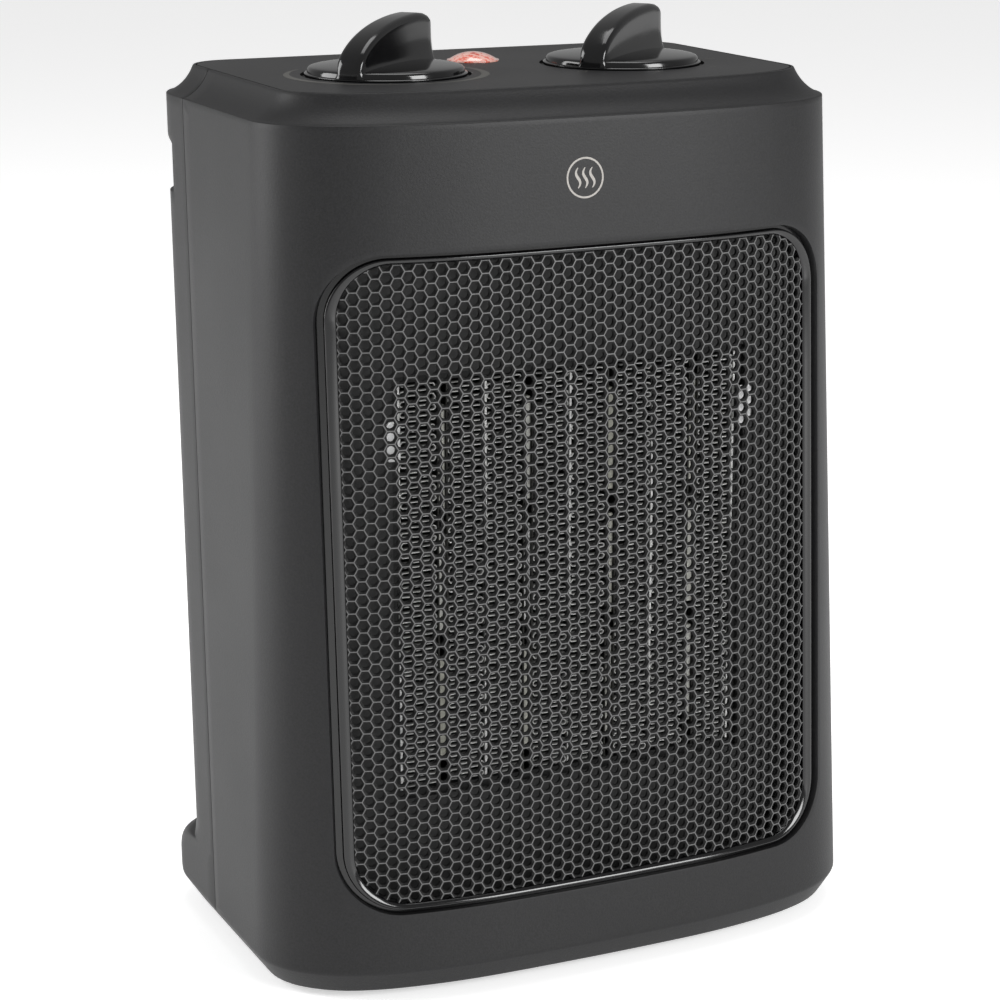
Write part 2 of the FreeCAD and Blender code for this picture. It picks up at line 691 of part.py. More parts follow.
def side_plates():
    """Five upright plates that the fins are bonded to."""
    low, high = CENTRE_Z - ELEMENT_HEIGHT / 2, CENTRE_Z + ELEMENT_HEIGHT / 2
    made = []
    for i in range(MODULES + 1):
        x = (i - MODULES / 2) * MODULE_PITCH
        made.append(element_slab(x - PLATE_THICK / 2, x + PLATE_THICK / 2, low, high))
    return group(made)


def element_terminals():
    """Blade terminals above the first three strips, behind the frame's top rail."""
    y = element_rear() - FLANGE_THICK / 2
    z = CENTRE_Z + ELEMENT_HEIGHT / 2 + FIT_GAP + FRAME_WALL
    made = []
    for x in module_centres()[:3]:
        tab = block(x - TAB_HALF, x + TAB_HALF, y - TAB_SET, y - TAB_SET + TAB_THICK, z, z + TAB_HEIGHT)
        made.append(tab.cut(rod_y(x, z + TAB_HEIGHT * 0.7, -FAR, FAR, TAB_THICK)))
    return group(made)


# ============================================================================ duct
def duct_rear():
    return element_rear() + DUCT_LENGTH + DUCT_TUBE


def air_duct():
    """Box behind the element that narrows to a round throat for the fan."""
    y0 = element_rear()
    y1 = y0 + DUCT_LENGTH
    half = element_half() + FIT_GAP + FRAME_WALL
    tall = ELEMENT_HEIGHT / 2 + FIT_GAP + FRAME_WALL
    throat = FAN_R + TIP_GAP
    flange = block(-half - FRAME_FLANGE, half + FRAME_FLANGE, y0, y0 + FLANGE_THICK,
                   CENTRE_Z - tall - FRAME_FLANGE, CENTRE_Z + tall + FRAME_FLANGE)
    box = block(-half, half, y0, y1, CENTRE_Z - tall, CENTRE_Z + tall)
    tube = rod_y(0, CENTRE_Z, y0, duct_rear(), throat + DUCT_WALL)
    ears = [block(s * throat - EAR / 2, s * throat + EAR / 2, y1 - DUCT_WALL, duct_rear(),
                  CENTRE_Z - STRAP_WIDTH / 2, CENTRE_Z + STRAP_WIDTH / 2) for s in (-1, 1)]
    ears = [e.cut(rod_y(0, CENTRE_Z, -FAR, FAR, throat)) for e in ears]
    made = join([flange, box, tube] + ears)
    inside_x, inside_z = half - DUCT_WALL, tall - DUCT_WALL
    cuts = [block(-inside_x, inside_x, y0 - 1, y1 - DUCT_WALL, CENTRE_Z - inside_z, CENTRE_Z + inside_z),
            rod_y(0, CENTRE_Z, y0, FAR, throat)]
    cuts += [rod_y(x, z, -FAR, FAR, SCREW_R + FIT_GAP) for x, z in frame_bolts()]
    cuts += [rod_y(s * strap_bolt(), CENTRE_Z, duct_rear() - STRAP_SCREW, FAR, SCREW_R) for s in (-1, 1)]
    return made.cut(cuts)


def strap_bolt():
    return FAN_R + TIP_GAP + EAR / 4


# ============================================================================ fan and motor
def motor_strap():
    """Steel strap across the throat that carries the motor."""
    y0 = duct_rear()
    reach = FAN_R + TIP_GAP + EAR / 2
    made = block(-reach, reach, y0, y0 + STRAP_THICK, CENTRE_Z - STRAP_WIDTH / 2, CENTRE_Z + STRAP_WIDTH / 2)
    cuts = [rod_y(0, CENTRE_Z, -FAR, FAR, BEARING_R + FIT_GAP)]
    cuts += [rod_y(s * strap_bolt(), CENTRE_Z, -FAR, FAR, SCREW_R + FIT_GAP) for s in (-1, 1)]
    cuts += [rod_y(s * BRIDGE_BOLT, CENTRE_Z, -FAR, FAR, SCREW_R) for s in (-1, 1)]
    return made.cut(cuts)


def stator_front():
    return duct_rear() + STRAP_THICK + STATOR_GAP


def stator_rear():
    return stator_front() + STATOR_LENGTH


def stator_core():
    """Stack of laminations: a pole ring round the rotor and a yoke that runs down through the coil."""
    y0, y1 = stator_front(), stator_rear()
    ring = block(-STATOR_HALF, STATOR_HALF, y0, y1, CENTRE_Z - ROTOR_R - STATOR_POLE,
                 CENTRE_Z + ROTOR_R + STATOR_CROWN)
    legs = block(-STATOR_HALF, STATOR_HALF, y0, y1, CENTRE_Z - STATOR_DROP, CENTRE_Z)
    made = join([ring, legs])
    inside = STATOR_HALF - STATOR_POLE
    window = block(-inside, inside, y0 - 1, y1 + 1, CENTRE_Z - STATOR_DROP + STATOR_FOOT,
                   CENTRE_Z - ROTOR_R - STATOR_POLE)
    cuts = [window, rod_y(0, CENTRE_Z, -FAR, FAR, ROTOR_R + AIR_GAP)]
    cuts += [rod_y(s * BRIDGE_BOLT, CENTRE_Z, -FAR, FAR, SCREW_R + FIT_GAP) for s in (-1, 1)]
    return made.cut(cuts)


def coil_span():
    return STATOR_HALF - STATOR_POLE - FIT_GAP


def coil_z():
    return CENTRE_Z - STATOR_DROP + STATOR_FOOT / 2


def coil_bobbin():
    """Nylon former on the foot of the laminations: it shows as two cheeks joined by a sleeve."""
    half = coil_span()
    y0, y1 = stator_front(), stator_rear()
    tall = STATOR_FOOT / 2 + BOBBIN_WALL
    sleeve = block(-half, half, y0 - BOBBIN_WALL, y1 + BOBBIN_WALL, coil_z() - tall, coil_z() + tall)
    cheeks = [block(s * half - CHEEK if s > 0 else -half, half if s > 0 else CHEEK - half,
                    y0 - BOBBIN_LIP, y1 + BOBBIN_LIP, coil_z() - BOBBIN_HALF,
                    coil_z() + BOBBIN_HALF) for s in (-1, 1)]
    made = join([sleeve] + cheeks)
    return made.cut(block(-STATOR_HALF, STATOR_HALF, y0, y1, coil_z() - STATOR_FOOT / 2,
                          coil_z() + STATOR_FOOT / 2))


def motor_coil():
    """Copper winding on the bobbin, under its tape."""
    half = coil_span() - CHEEK - FIT_GAP
    y0, y1 = stator_front(), stator_rear()
    lip, over = BOBBIN_LIP - COIL_BELOW_LIP, BOBBIN_HALF - COIL_BELOW_LIP
    outer = block(-half, half, y0 - lip, y1 + lip, coil_z() - over, coil_z() + over)
    tall = STATOR_FOOT / 2 + BOBBIN_WALL
    return outer.cut(block(-half - 1, half + 1, y0 - BOBBIN_WALL, y1 + BOBBIN_WALL,
                           coil_z() - tall, coil_z() + tall))


def shading_rings():
    """Copper loops in the pole tips; each bar is drawn on the face of the laminations."""
    y = stator_front()
    made = []
    for s in (-1, 1):
        x = s * (ROTOR_R + SHADING_OUT)
        z = CENTRE_Z + s * (BRIDGE_HALF + SHADING_HALF + 2 * FIT_GAP)
        wide, bar = SHADING_HALF - SHADING_BAR - 1, SHADING_BAR
        loop = block(x - wide, x + wide, y - bar, y, z - SHADING_HALF, z + SHADING_HALF)
        made.append(loop.cut(block(x - wide + bar, x + wide - bar, y - 2 * bar, y + bar,
                                   z - SHADING_HALF + bar, z + SHADING_HALF - bar)))
    return group(made)


def bridge(y0, facing):
    """Stamped bearing bridge over one end of the laminations; facing is the way its hat stands out."""
    y1 = y0 + facing * BRIDGE_THICK
    hat = y0 + facing * BEARING_LENGTH
    plate = block(-BRIDGE_BOLT - BRIDGE_END, BRIDGE_BOLT + BRIDGE_END, min(y0, y1), max(y0, y1),
                  CENTRE_Z - BRIDGE_HALF, CENTRE_Z + BRIDGE_HALF)
    cup = rod_y(0, CENTRE_Z, min(y0, hat), max(y0, hat), BEARING_R + BRIDGE_THICK)
    made = join([plate, cup])
    cuts = [rod_y(0, CENTRE_Z, -FAR, FAR, BEARING_R)]
    cuts += [rod_y(s * BRIDGE_BOLT, CENTRE_Z, -FAR, FAR, SCREW_R + FIT_GAP) for s in (-1, 1)]
    return made.cut(cuts)


def bearing(y0, facing):
    """Sintered bronze bush."""
    y1 = y0 + facing * BEARING_LENGTH
    made = rod_y(0, CENTRE_Z, min(y0, y1), max(y0, y1), BEARING_R)
    return made.cut(rod_y(0, CENTRE_Z, -FAR, FAR, SHAFT_R + BEARING_CLEARANCE))


def motor_spacers():
    """Tubes round the motor screws, from the strap to the front bridge."""
    y0, y1 = duct_rear() + STRAP_THICK, stator_front() - BRIDGE_THICK
    made = []
    for s in (-1, 1):
        tube = rod_y(s * BRIDGE_BOLT, CENTRE_Z, y0, y1, SCREW_R + SPACER_WALL)
        made.append(tube.cut(rod_y(s * BRIDGE_BOLT, CENTRE_Z, -FAR, FAR, SCREW_R + FIT_GAP)))
    return group(made)


def motor_shaft():
    return rod_y(0, CENTRE_Z, FAN_Y + HUB_WALL / 2, stator_rear() + BEARING_LENGTH + SHAFT_END, SHAFT_R)


def rotor():
    """Squirrel-cage rotor pressed on the shaft."""
    y0, y1 = stator_front() + SLIDE_CLEARANCE, stator_rear() - SLIDE_CLEARANCE
    return rod_y(0, CENTRE_Z, y0, y1, ROTOR_R).cut(rod_y(0, CENTRE_Z, -FAR, FAR, SHAFT_R))


def blade(turn):
    """One twisted fan blade: straight lines join a steep root section to a flatter tip section."""
    wires = []
    for radius, pitch in ((HUB_R * 0.8, ROOT_PITCH), (FAN_R + WALL, TIP_PITCH)):
        c, s = math.cos(math.radians(pitch)), math.sin(math.radians(pitch))
        corners = []
        for u, v in ((-0.5, -0.5), (0.5, -0.5), (0.5, 0.5), (-0.5, 0.5)):
            along, across = u * BLADE_CHORD * 0.8, v * BLADE_THICK
            corners.append(Vector(radius, along * s + across * c, along * c - across * s))
        wires.append(Part.makePolygon(corners + corners[:1]))
    made = loft(wires)
    made.rotate(Vector(0, 0, 0), Y_AXIS, turn)
    made.translate(Vector(0, FAN_Y + HUB_LENGTH / 2, CENTRE_Z))
    return made


def impeller():
    hub = rod_y(0, CENTRE_Z, FAN_Y, FAN_Y + HUB_LENGTH, HUB_R)
    wings = [blade(i * 360.0 / BLADES) for i in range(BLADES)]
    rim = rod_y(0, CENTRE_Z, -FAR / 4, FAR / 4, FAN_R)
    made = join([hub] + [w.common(rim) for w in wings])
    hollow = rod_y(0, CENTRE_Z, FAN_Y + HUB_WALL, FAN_Y + HUB_LENGTH + 1, HUB_R - HUB_WALL)
    core = rod_y(0, CENTRE_Z, FAN_Y, FAN_Y + HUB_LENGTH, SHAFT_R + HUB_WALL)
    made = made.cut(hollow.cut(core))
    return made.cut(rod_y(0, CENTRE_Z, FAN_Y + HUB_WALL / 2, FAR, SHAFT_R))


# ============================================================================ control panel
def panel_z():
    return RIM_Z


def knob_floor():
    return panel_z() - KNOB_RECESS


def control_bolts(x):
    """Two screws hold each control under the panel."""
    return [(x + dx, KNOB_Y) for dx in (-CONTROL_BOLT, CONTROL_BOLT)]


def top_panel():
    """Panel with a shallow round recess under each knob."""
    made = Part.Face(section(RIM_Z, RIM_INSET + PANEL_RIM + PANEL_GAP)).extrude(Vector(0, 0, -PANEL_THICK))
    cuts = [rod_z(0, LENS_Y, 0, FAR, LENS_R - 1.0 + FIT_GAP)]
    for x in (-KNOB_X, KNOB_X):
        cuts.append(rod_z(x, KNOB_Y, knob_floor(), FAR, KNOB_R + 2 * KNOB_GAP))
        cuts.append(rod_z(x, KNOB_Y, 0, FAR, SPINDLE_R + 4 * SPINDLE_CLEARANCE + FIT_GAP))
        for bx, by in control_bolts(x):
            cuts.append(rod_z(bx, by, 0, FAR, SCREW_R + FIT_GAP))
            cuts.append(rod_z(bx, by, knob_floor() - COUNTERSINK, FAR, HEAD_R * 0.8 + FIT_GAP))
    return made.cut(cuts)


def knob(x):
    """Low disc with an upright grip: the grip's spine rises in a quarter ellipse from the rim in front
    to a square rear end."""
    z0 = knob_floor() + KNOB_GAP
    z1 = z0 + KNOB_DISC
    disc = rod_z(0, 0, z0, z1, KNOB_R)
    disc = disc.makeChamfer(KNOB_DISC / 4, [disc.Edges[0]])
    front, rear = KNOB_R - GRIP_FRONT, GRIP_BACK - KNOB_R
    half = BLADE_WIDTH / 2
    crest = rear + GRIP_CREST
    t = math.radians(45)
    rise = GRIP_HEIGHT
    middle = Vector(crest + (front - crest) * math.cos(t), -half, z1 + rise * math.sin(t))
    profile = Part.Wire([
        line(Vector(rear, -half, z0 + KNOB_GAP), Vector(front, -half, z0 + KNOB_GAP)),
        line(Vector(front, -half, z0 + KNOB_GAP), Vector(front, -half, z1)),
        arc(Vector(front, -half, z1), middle, Vector(crest, -half, z1 + rise)),
        line(Vector(crest, -half, z1 + rise), Vector(rear, -half, z1 + rise - GRIP_DROP)),
        line(Vector(rear, -half, z1 + rise - GRIP_DROP), Vector(rear, -half, z0 + KNOB_GAP))])
    grip = Part.Face(profile).extrude(Vector(0, BLADE_WIDTH, 0))
    made = join([disc, grip])
    made = made.cut(rod_z(0, 0, 0, z1 + SPINDLE_IN_KNOB, SPINDLE_R))
    made.rotate(Vector(0, 0, 0), Z_AXIS, POINTER_ANGLE)
    made.translate(Vector(x, KNOB_Y, 0))
    return made


def spindle(x):
    z1 = knob_floor() + KNOB_GAP + KNOB_DISC + SPINDLE_IN_KNOB
    return rod_z(x, KNOB_Y, panel_z() - PANEL_THICK - SWITCH_HEIGHT * 0.8, z1, SPINDLE_R)


def control_body(x, half_x, half_y):
    """Moulded body under the panel, bored for its spindle."""
    top = panel_z() - PANEL_THICK
    made = block(x - half_x, x + half_x, KNOB_Y - half_y, KNOB_Y + half_y, top - SWITCH_HEIGHT, top)
    cuts = [rod_z(x, KNOB_Y, top - SWITCH_HEIGHT * 0.8 - 0.5, FAR, SPINDLE_R + SPINDLE_CLEARANCE)]
    cuts += [rod_z(bx, by, top - CONTROL_SCREW, FAR, SCREW_R) for bx, by in control_bolts(x)]
    return made.cut(cuts)


def control_tabs():
    """Blade terminals under both controls."""
    z1 = panel_z() - PANEL_THICK - SWITCH_HEIGHT
    made = []
    for x, dx, count in ((-KNOB_X, 9.0, 2), (KNOB_X, 8.2, 3)):
        for i in range(count):
            cx = x + (i - (count - 1) / 2) * dx
            made.append(block(cx - TAB_HALF, cx + TAB_HALF, KNOB_Y - TAB_THICK / 2, KNOB_Y + TAB_THICK / 2,
                              z1 - TAB_HEIGHT, z1))
    return group(made)


def control_screws():
    made = []
    for x in (-KNOB_X, KNOB_X):
        for bx, by in control_bolts(x):
            z = knob_floor() - COUNTERSINK
            head = rod_z(bx, by, z, z + COUNTERSINK, HEAD_R * 0.8)
            made.append(join([head, rod_z(bx, by, panel_z() - PANEL_THICK - CONTROL_SCREW, z, SCREW_R)]))
    return group(made)


def indicator_lens():
    """Domed lens with a neck through the panel."""
    z = panel_z()
    sphere_r = (LENS_R ** 2 + LENS_DOME ** 2) / (2 * LENS_DOME)
    dome = Part.makeSphere(sphere_r, Vector(0, LENS_Y, z + LENS_DOME - sphere_r))
    dome = dome.common(rod_z(0, LENS_Y, z, z + LENS_DOME + 1, LENS_R))
    neck = rod_z(0, LENS_Y, z - PANEL_THICK - 2.0, z + 0.1, LENS_R - 1.0)
    made = join([dome, neck])
    return made.cut(rod_z(0, LENS_Y, 0, z - 0.6, LENS_R - 2.6))


def neon_lamp():
    z1 = panel_z() - LAMP_BELOW_PANEL
    tube = rod_z(0, LENS_Y, z1 - LAMP_LENGTH, z1 - LAMP_R, LAMP_R)
    return join([tube, Part.makeSphere(LAMP_R, Vector(0, LENS_Y, z1 - LAMP_R))])


def lamp_holder():
    z1 = panel_z() - PANEL_THICK - 2.0
    floor = panel_z() - LAMP_BELOW_PANEL - LAMP_LENGTH
    made = rod_z(0, LENS_Y, floor - WALL / 2, z1, LENS_R)
    return made.cut(rod_z(0, LENS_Y, floor, FAR, LAMP_R + FIT_GAP))


# ============================================================================ safety parts
def overheat_cutout():
    """Bimetal disc cut-out on top of the duct."""
    z = CENTRE_Z + ELEMENT_HEIGHT / 2 + FIT_GAP + FRAME_WALL
    y = element_rear() + (DUCT_LENGTH + FLANGE_THICK) / 2
    can = rod_z(CUTOUT_X, y, z, z + CUTOUT_CAN, CUTOUT_R)
    return join([can, rod_z(CUTOUT_X, y, z + CUTOUT_CAN, z + CUTOUT_HEIGHT, CUTOUT_R - CUTOUT_STEP)])


def thermal_fuse():
    """One-shot fuse in a sleeve beside the cut-out, lying on the duct."""
    z = CENTRE_Z + ELEMENT_HEIGHT / 2 + FIT_GAP + FRAME_WALL
    y = element_rear() + (DUCT_LENGTH + FLANGE_THICK) / 2
    return Part.makeCylinder(FUSE_R, FUSE_LENGTH, Vector(-CUTOUT_X - FUSE_LENGTH / 2, y, z + FUSE_R), X_AXIS)


def guide_r():
    return PLUNGER_R + SLIDE_CLEARANCE + WALL / 2


def collar_r():
    """Wide enough to reach over the guide to the lever."""
    return guide_r() + COLLAR_REACH


def collar_z():
    """The collar stops just above the guide when the plunger has dropped its full travel."""
    return GUIDE_TOP + PLUNGER_TRAVEL + SLIDE_CLEARANCE


def spring_top():
    return PLUNGER_TIP + PLUNGER_LENGTH + SPRING_HEIGHT


def lever_z():
    return collar_z() - LEVER_GAP - LEVER_THICK / 2


def lever_pivot():
    return PLUNGER_X + PLUNGER_R + LEVER_ARM


def tip_plunger():
    """Rod through the base that the table pushes up."""
    z0 = PLUNGER_TIP
    stem = rod_z(PLUNGER_X, PLUNGER_Y, z0 + PLUNGER_R, z0 + PLUNGER_LENGTH, PLUNGER_R)
    tip = Part.makeSphere(PLUNGER_R, Vector(PLUNGER_X, PLUNGER_Y, z0 + PLUNGER_R))
    collar = rod_z(PLUNGER_X, PLUNGER_Y, collar_z(), collar_z() + COLLAR, collar_r())
    return join([stem, tip, collar])


def plunger_spring():
    """Return spring above the collar, round the top of the plunger."""
    z0 = collar_z() + COLLAR
    height = spring_top() - z0
    radius = PLUNGER_R + SLIDE_CLEARANCE + SPRING_WIRE
    pitch = (height - 2 * SPRING_WIRE) / SPRING_TURNS
    helix = Part.makeHelix(pitch, pitch * SPRING_TURNS, radius)
    helix.translate(Vector(PLUNGER_X, PLUNGER_Y, z0 + SPRING_WIRE))
    start = helix.Edges[0].Vertexes[0].Point
    corners = []
    for i in range(WIRE_SIDES + 1):
        turn = 2 * math.pi * (i + 0.5) / WIRE_SIDES
        corners.append(start + Vector(SPRING_WIRE * math.cos(turn), 0, SPRING_WIRE * math.sin(turn)))
    return Part.Wire(helix.Edges).makePipeShell([Part.makePolygon(corners)], True, True)


def switch_bracket():
    """Cage over the plunger that seats the spring."""
    wall = WALL / 2
    reach = collar_r() + SLIDE_CLEARANCE + wall
    z0, z1 = BASE_Z + BASE_THICK, spring_top()
    x0, x1 = PLUNGER_X - reach, PLUNGER_X + reach
    top = block(x0, x1, PLUNGER_Y - reach, PLUNGER_Y + reach, z1, z1 + wall)
    near = block(x0, x1, PLUNGER_Y - reach, PLUNGER_Y - reach + wall, z0, z1)
    far = block(x0, x1, PLUNGER_Y + reach - wall, PLUNGER_Y + reach, z0, z1)
    return join([top, near, far])


def microswitch():
    """Snap switch beside the plunger, with two ears that hold the lever's pin."""
    x0 = lever_pivot() - EYE_R - EAR_THICK
    half = LEVER_HALF + SLIDE_CLEARANCE + EAR_THICK
    z0, z1 = BASE_Z + BASE_THICK, lever_z() - EYE_R - SLIDE_CLEARANCE
    body = block(x0, x0 + SWITCH_LENGTH, PLUNGER_Y - half, PLUNGER_Y + half, z0, z1)
    ears = [block(lever_pivot() - EYE_R, lever_pivot() + EYE_R, y0, y0 + EAR_THICK, z1 - 1, lever_z() + EYE_R)
            for y0 in (PLUNGER_Y - half, PLUNGER_Y + half - EAR_THICK)]
    return join([body] + ears).cut(rod_y(lever_pivot(), lever_z(), PLUNGER_Y - FAR, PLUNGER_Y + FAR, PIN_R))


def lever_pin():
    half = LEVER_HALF + SLIDE_CLEARANCE + EAR_THICK
    return rod_y(lever_pivot(), lever_z(), PLUNGER_Y - half, PLUNGER_Y + half, PIN_R)


def switch_lever():
    """Spring-steel lever that follows the plunger's collar down when the heater tips."""
    x0 = PLUNGER_X + guide_r() + LEVER_GAP
    z = lever_z()
    strip = block(x0, lever_pivot(), PLUNGER_Y - LEVER_HALF, PLUNGER_Y + LEVER_HALF,
                  z - LEVER_THICK / 2, z + LEVER_THICK / 2)
    eye = rod_y(lever_pivot(), z, PLUNGER_Y - LEVER_HALF, PLUNGER_Y + LEVER_HALF, EYE_R)
    return join([strip, eye]).cut(rod_y(lever_pivot(), z, -FAR, FAR, PIN_R + SPINDLE_CLEARANCE))


# ============================================================================ base, gland, terminals, feet
def cord_gland():
    """Bush in the rear wall that the mains cord would pass through."""
    face = rear_y(GLAND_Z) + GLAND_BOSS_PROUD
    flange = rod_y(GLAND_X, GLAND_Z, face, face + GLAND_FLANGE, GLAND_R + GLAND_FLANGE)
    neck = rod_y(GLAND_X, GLAND_Z, face - GLAND_BOSS - GLAND_BOSS_PROUD - GLAND_FLANGE,
                 face + GLAND_FLANGE / 2, GLAND_R)
    made = join([flange, neck])
    return made.cut(rod_y(GLAND_X, GLAND_Z, -FAR, FAR, CORD_HOLE_R))


def terminal_block():
    """Two-way screw block inside the gland."""
    z0 = BASE_Z + BASE_THICK
    size = TERMINAL_SIZE
    made = block(GLAND_X - 2 * size, GLAND_X, TERMINAL_Y, TERMINAL_Y + size, z0, z0 + size)
    cuts = [rod_y(GLAND_X - i * size / 2, z0 + size / 2, -FAR, FAR, TERMINAL_BORE) for i in (1, 3)]
    return made.cut(cuts)


def rubber_feet():
    made = []
    for s in (-1, 1):
        for y in (FRONT_FOOT_Y, REAR_FOOT_Y):
            pad = rod_z(s * FOOT_X, y, 0, BASE_Z, FOOT_R)
            pad = pad.makeFillet(FOOT_ROUND, [pad.Edges[2]])
            made.append(join([pad, rod_z(s * FOOT_X, y, BASE_Z / 2, BASE_Z + FOOT_SEAT, FOOT_R - FOOT_LIP)]))
    return group(made)


# ============================================================================ screws
def housing_screws():
    made = []
    for z in (POST_LOW, POST_HIGH):
        for s in (-1, 1):
            made.append(screw_y(s * POST_X, z, seam_y(z) + POST_FLOOR, POST_FLOOR + POST_GRIP - 1, -1))
    return group(made)


def base_screws():
    made = []
    for s in (-1, 1):
        for y in (BASE_POST_FRONT, BASE_POST_REAR):
            made.append(screw_z(s * BASE_POST_X, y, BASE_Z, BASE_SCREW - 1, 1))
    return group(made)


def baffle_screws():
    y = BAFFLE_Y + BAFFLE_THICK
    return group([screw_y(x, z, y, BAFFLE_THICK + BAFFLE_SCREW - 1, -1) for x, z in baffle_bolts()])


def element_screws():
    y = element_rear() + FLANGE_THICK
    length = FLANGE_THICK + element_rear() - BAFFLE_Y
    return group([screw_y(x, z, y, length, -1) for x, z in frame_bolts()])


def strap_screws():
    y = duct_rear() + STRAP_THICK
    return group([screw_y(s * strap_bolt(), CENTRE_Z, y, STRAP_THICK + STRAP_SCREW - 1, -1) for s in (-1, 1)])


def motor_screws():
    y = stator_rear() + BRIDGE_THICK
    length = y - duct_rear()
    return group([screw_y(s * BRIDGE_BOLT, CENTRE_Z, y, length, -1) for s in (-1, 1)])


# ============================================================================ build
def build():
    whole = shell()
    front_bridge = stator_front()
    rear_bridge = stator_rear()
    return {
        "front_housing": front_housing(whole),
        "rear_housing": rear_housing(whole),
        "base_plate": base_plate(),
        "grille_bezel": bezel(),
        "front_grille": grille(),
        "inner_baffle": baffle(),
        "element_frame": element_frame(),
        "element_clips": element_clips(),
        "ptc_stones": ptc_stones(),
        "electrode_strips": electrodes(),
        "fin_packs": fin_packs(),
        "fin_plates": side_plates(),
        "element_terminals": element_terminals(),
        "air_duct": air_duct(),
        "motor_strap": motor_strap(),
        "stator_core": stator_core(),
        "coil_bobbin": coil_bobbin(),
        "motor_coil": motor_coil(),
        "shading_rings": shading_rings(),
        "front_bridge": bridge(front_bridge, -1),
        "rear_bridge": bridge(rear_bridge, 1),
        "front_bearing": bearing(front_bridge, -1),
        "rear_bearing": bearing(rear_bridge, 1),
        "motor_spacers": motor_spacers(),
        "motor_shaft": motor_shaft(),
        "rotor": rotor(),
        "impeller": impeller(),
        "top_panel": top_panel(),
        "thermostat_knob": knob(-KNOB_X),
        "mode_knob": knob(KNOB_X),
        "thermostat_spindle": spindle(-KNOB_X),
        "mode_spindle": spindle(KNOB_X),
        "thermostat_body": control_body(-KNOB_X, THERMOSTAT_LENGTH / 2, THERMOSTAT_WIDTH / 2),
        "mode_switch_body": control_body(KNOB_X, SWITCH_HALF, SWITCH_HALF),
        "control_terminals": control_tabs(),
        "indicator_lens": indicator_lens(),
        "neon_lamp": neon_lamp(),
        "lamp_holder": lamp_holder(),
        "overheat_cutout": overheat_cutout(),
        "thermal_fuse": thermal_fuse(),
        "tip_plunger": tip_plunger(),
        "plunger_spring": plunger_spring(),
        "switch_bracket": switch_bracket(),
        "microswitch": microswitch(),
        "switch_lever": switch_lever(),
        "lever_pin": lever_pin(),
        "cord_gland": cord_gland(),
        "terminal_block": terminal_block(),
        "rubber_feet": rubber_feet(),
        "housing_screws": housing_screws(),
        "base_screws": base_screws(),
        "baffle_screws": baffle_screws(),
        "element_screws": element_screws(),
        "strap_screws": strap_screws(),
        "motor_screws": motor_screws(),
        "control_screws": control_screws(),
    }


def main():
    os.makedirs("parts", exist_ok=True)
    for name, shape in build().items():
        shape.exportStep("parts/" + name + ".step")
        solids = len(shape.Solids)
        print(f"{name:20s} solids {solids:3d}  volume {shape.Volume:10.1f}  valid {shape.isValid()}")


main()
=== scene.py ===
import json
import math
import bmesh
import bpy
import numpy as np
from bpy.props import FloatProperty, FloatVectorProperty, IntProperty, PointerProperty
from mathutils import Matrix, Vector


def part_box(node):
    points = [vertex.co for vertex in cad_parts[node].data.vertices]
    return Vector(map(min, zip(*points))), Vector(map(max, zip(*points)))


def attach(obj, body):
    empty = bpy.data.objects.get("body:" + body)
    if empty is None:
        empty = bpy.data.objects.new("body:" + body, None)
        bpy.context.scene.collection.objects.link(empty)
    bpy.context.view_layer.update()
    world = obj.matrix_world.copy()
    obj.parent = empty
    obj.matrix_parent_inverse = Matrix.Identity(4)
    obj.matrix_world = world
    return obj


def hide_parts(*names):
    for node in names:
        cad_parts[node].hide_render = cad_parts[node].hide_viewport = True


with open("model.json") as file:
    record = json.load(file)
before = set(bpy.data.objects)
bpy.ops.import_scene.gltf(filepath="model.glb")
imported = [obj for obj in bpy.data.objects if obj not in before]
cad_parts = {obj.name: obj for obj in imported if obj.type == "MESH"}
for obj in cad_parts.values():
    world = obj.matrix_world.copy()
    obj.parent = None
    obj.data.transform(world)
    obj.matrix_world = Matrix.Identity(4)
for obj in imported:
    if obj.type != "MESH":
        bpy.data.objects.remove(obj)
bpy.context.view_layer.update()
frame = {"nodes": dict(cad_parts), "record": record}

bl_info = {
    "name": "Ceramic Heater Finish",
    "version": (1, 0, 0),
    "blender": (4, 5, 0),
    "location": "View3D > Sidebar > Heater",
    "description": "Builds the visible surfaces of a table-top ceramic heater round its CAD frame",
    "category": "Object",
}

# Every size below is in millimetres, in the CAD frame: +Z up, the front faces -Y, the feet stand on z = 0.
MM = 0.001

# ---------------------------------------------------------------------------- casing
LOW, HIGH = (np.array(corner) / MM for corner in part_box("front_housing"))
REAR_LOW, REAR_HIGH = (np.array(corner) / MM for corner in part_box("rear_housing"))
HALF_WIDTH_BASE = float(HIGH[0])
HALF_WIDTH_TOP = HALF_WIDTH_BASE - 6.5
OVERALL_DEPTH = 127.0
FRONT_LEAN = 11.0
REAR_LEAN = 28.0
BASE_Z = float(LOW[2])
WALL_BOTTOM = BASE_Z + 7.0
RIM_Z = float(HIGH[2])
WALL_TOP = RIM_Z - 7.7
COVE = (4.9, 3.1)            # inwards and upwards, to the middle of the cove
RIM_INSET = 7.8
RIM_WIDTH = 0.75
WALL = 2.4
CORNER_R = 21.0
FLAT_HALF = 58.0            # the rear is level this far out from its middle
SPANS = (0.32, 0.32, 0.14, 0.16, 0.06)
TURNS = (0.0, 1.8, 11.0, 21.1, 49.5, 90.0)
SEAM_FROM_REAR = 32.0
SEAM_GAP = 0.3
WINDOW = (76.0, 25.5, 205.5, 18.0)     # half width, foot, head, corner radius

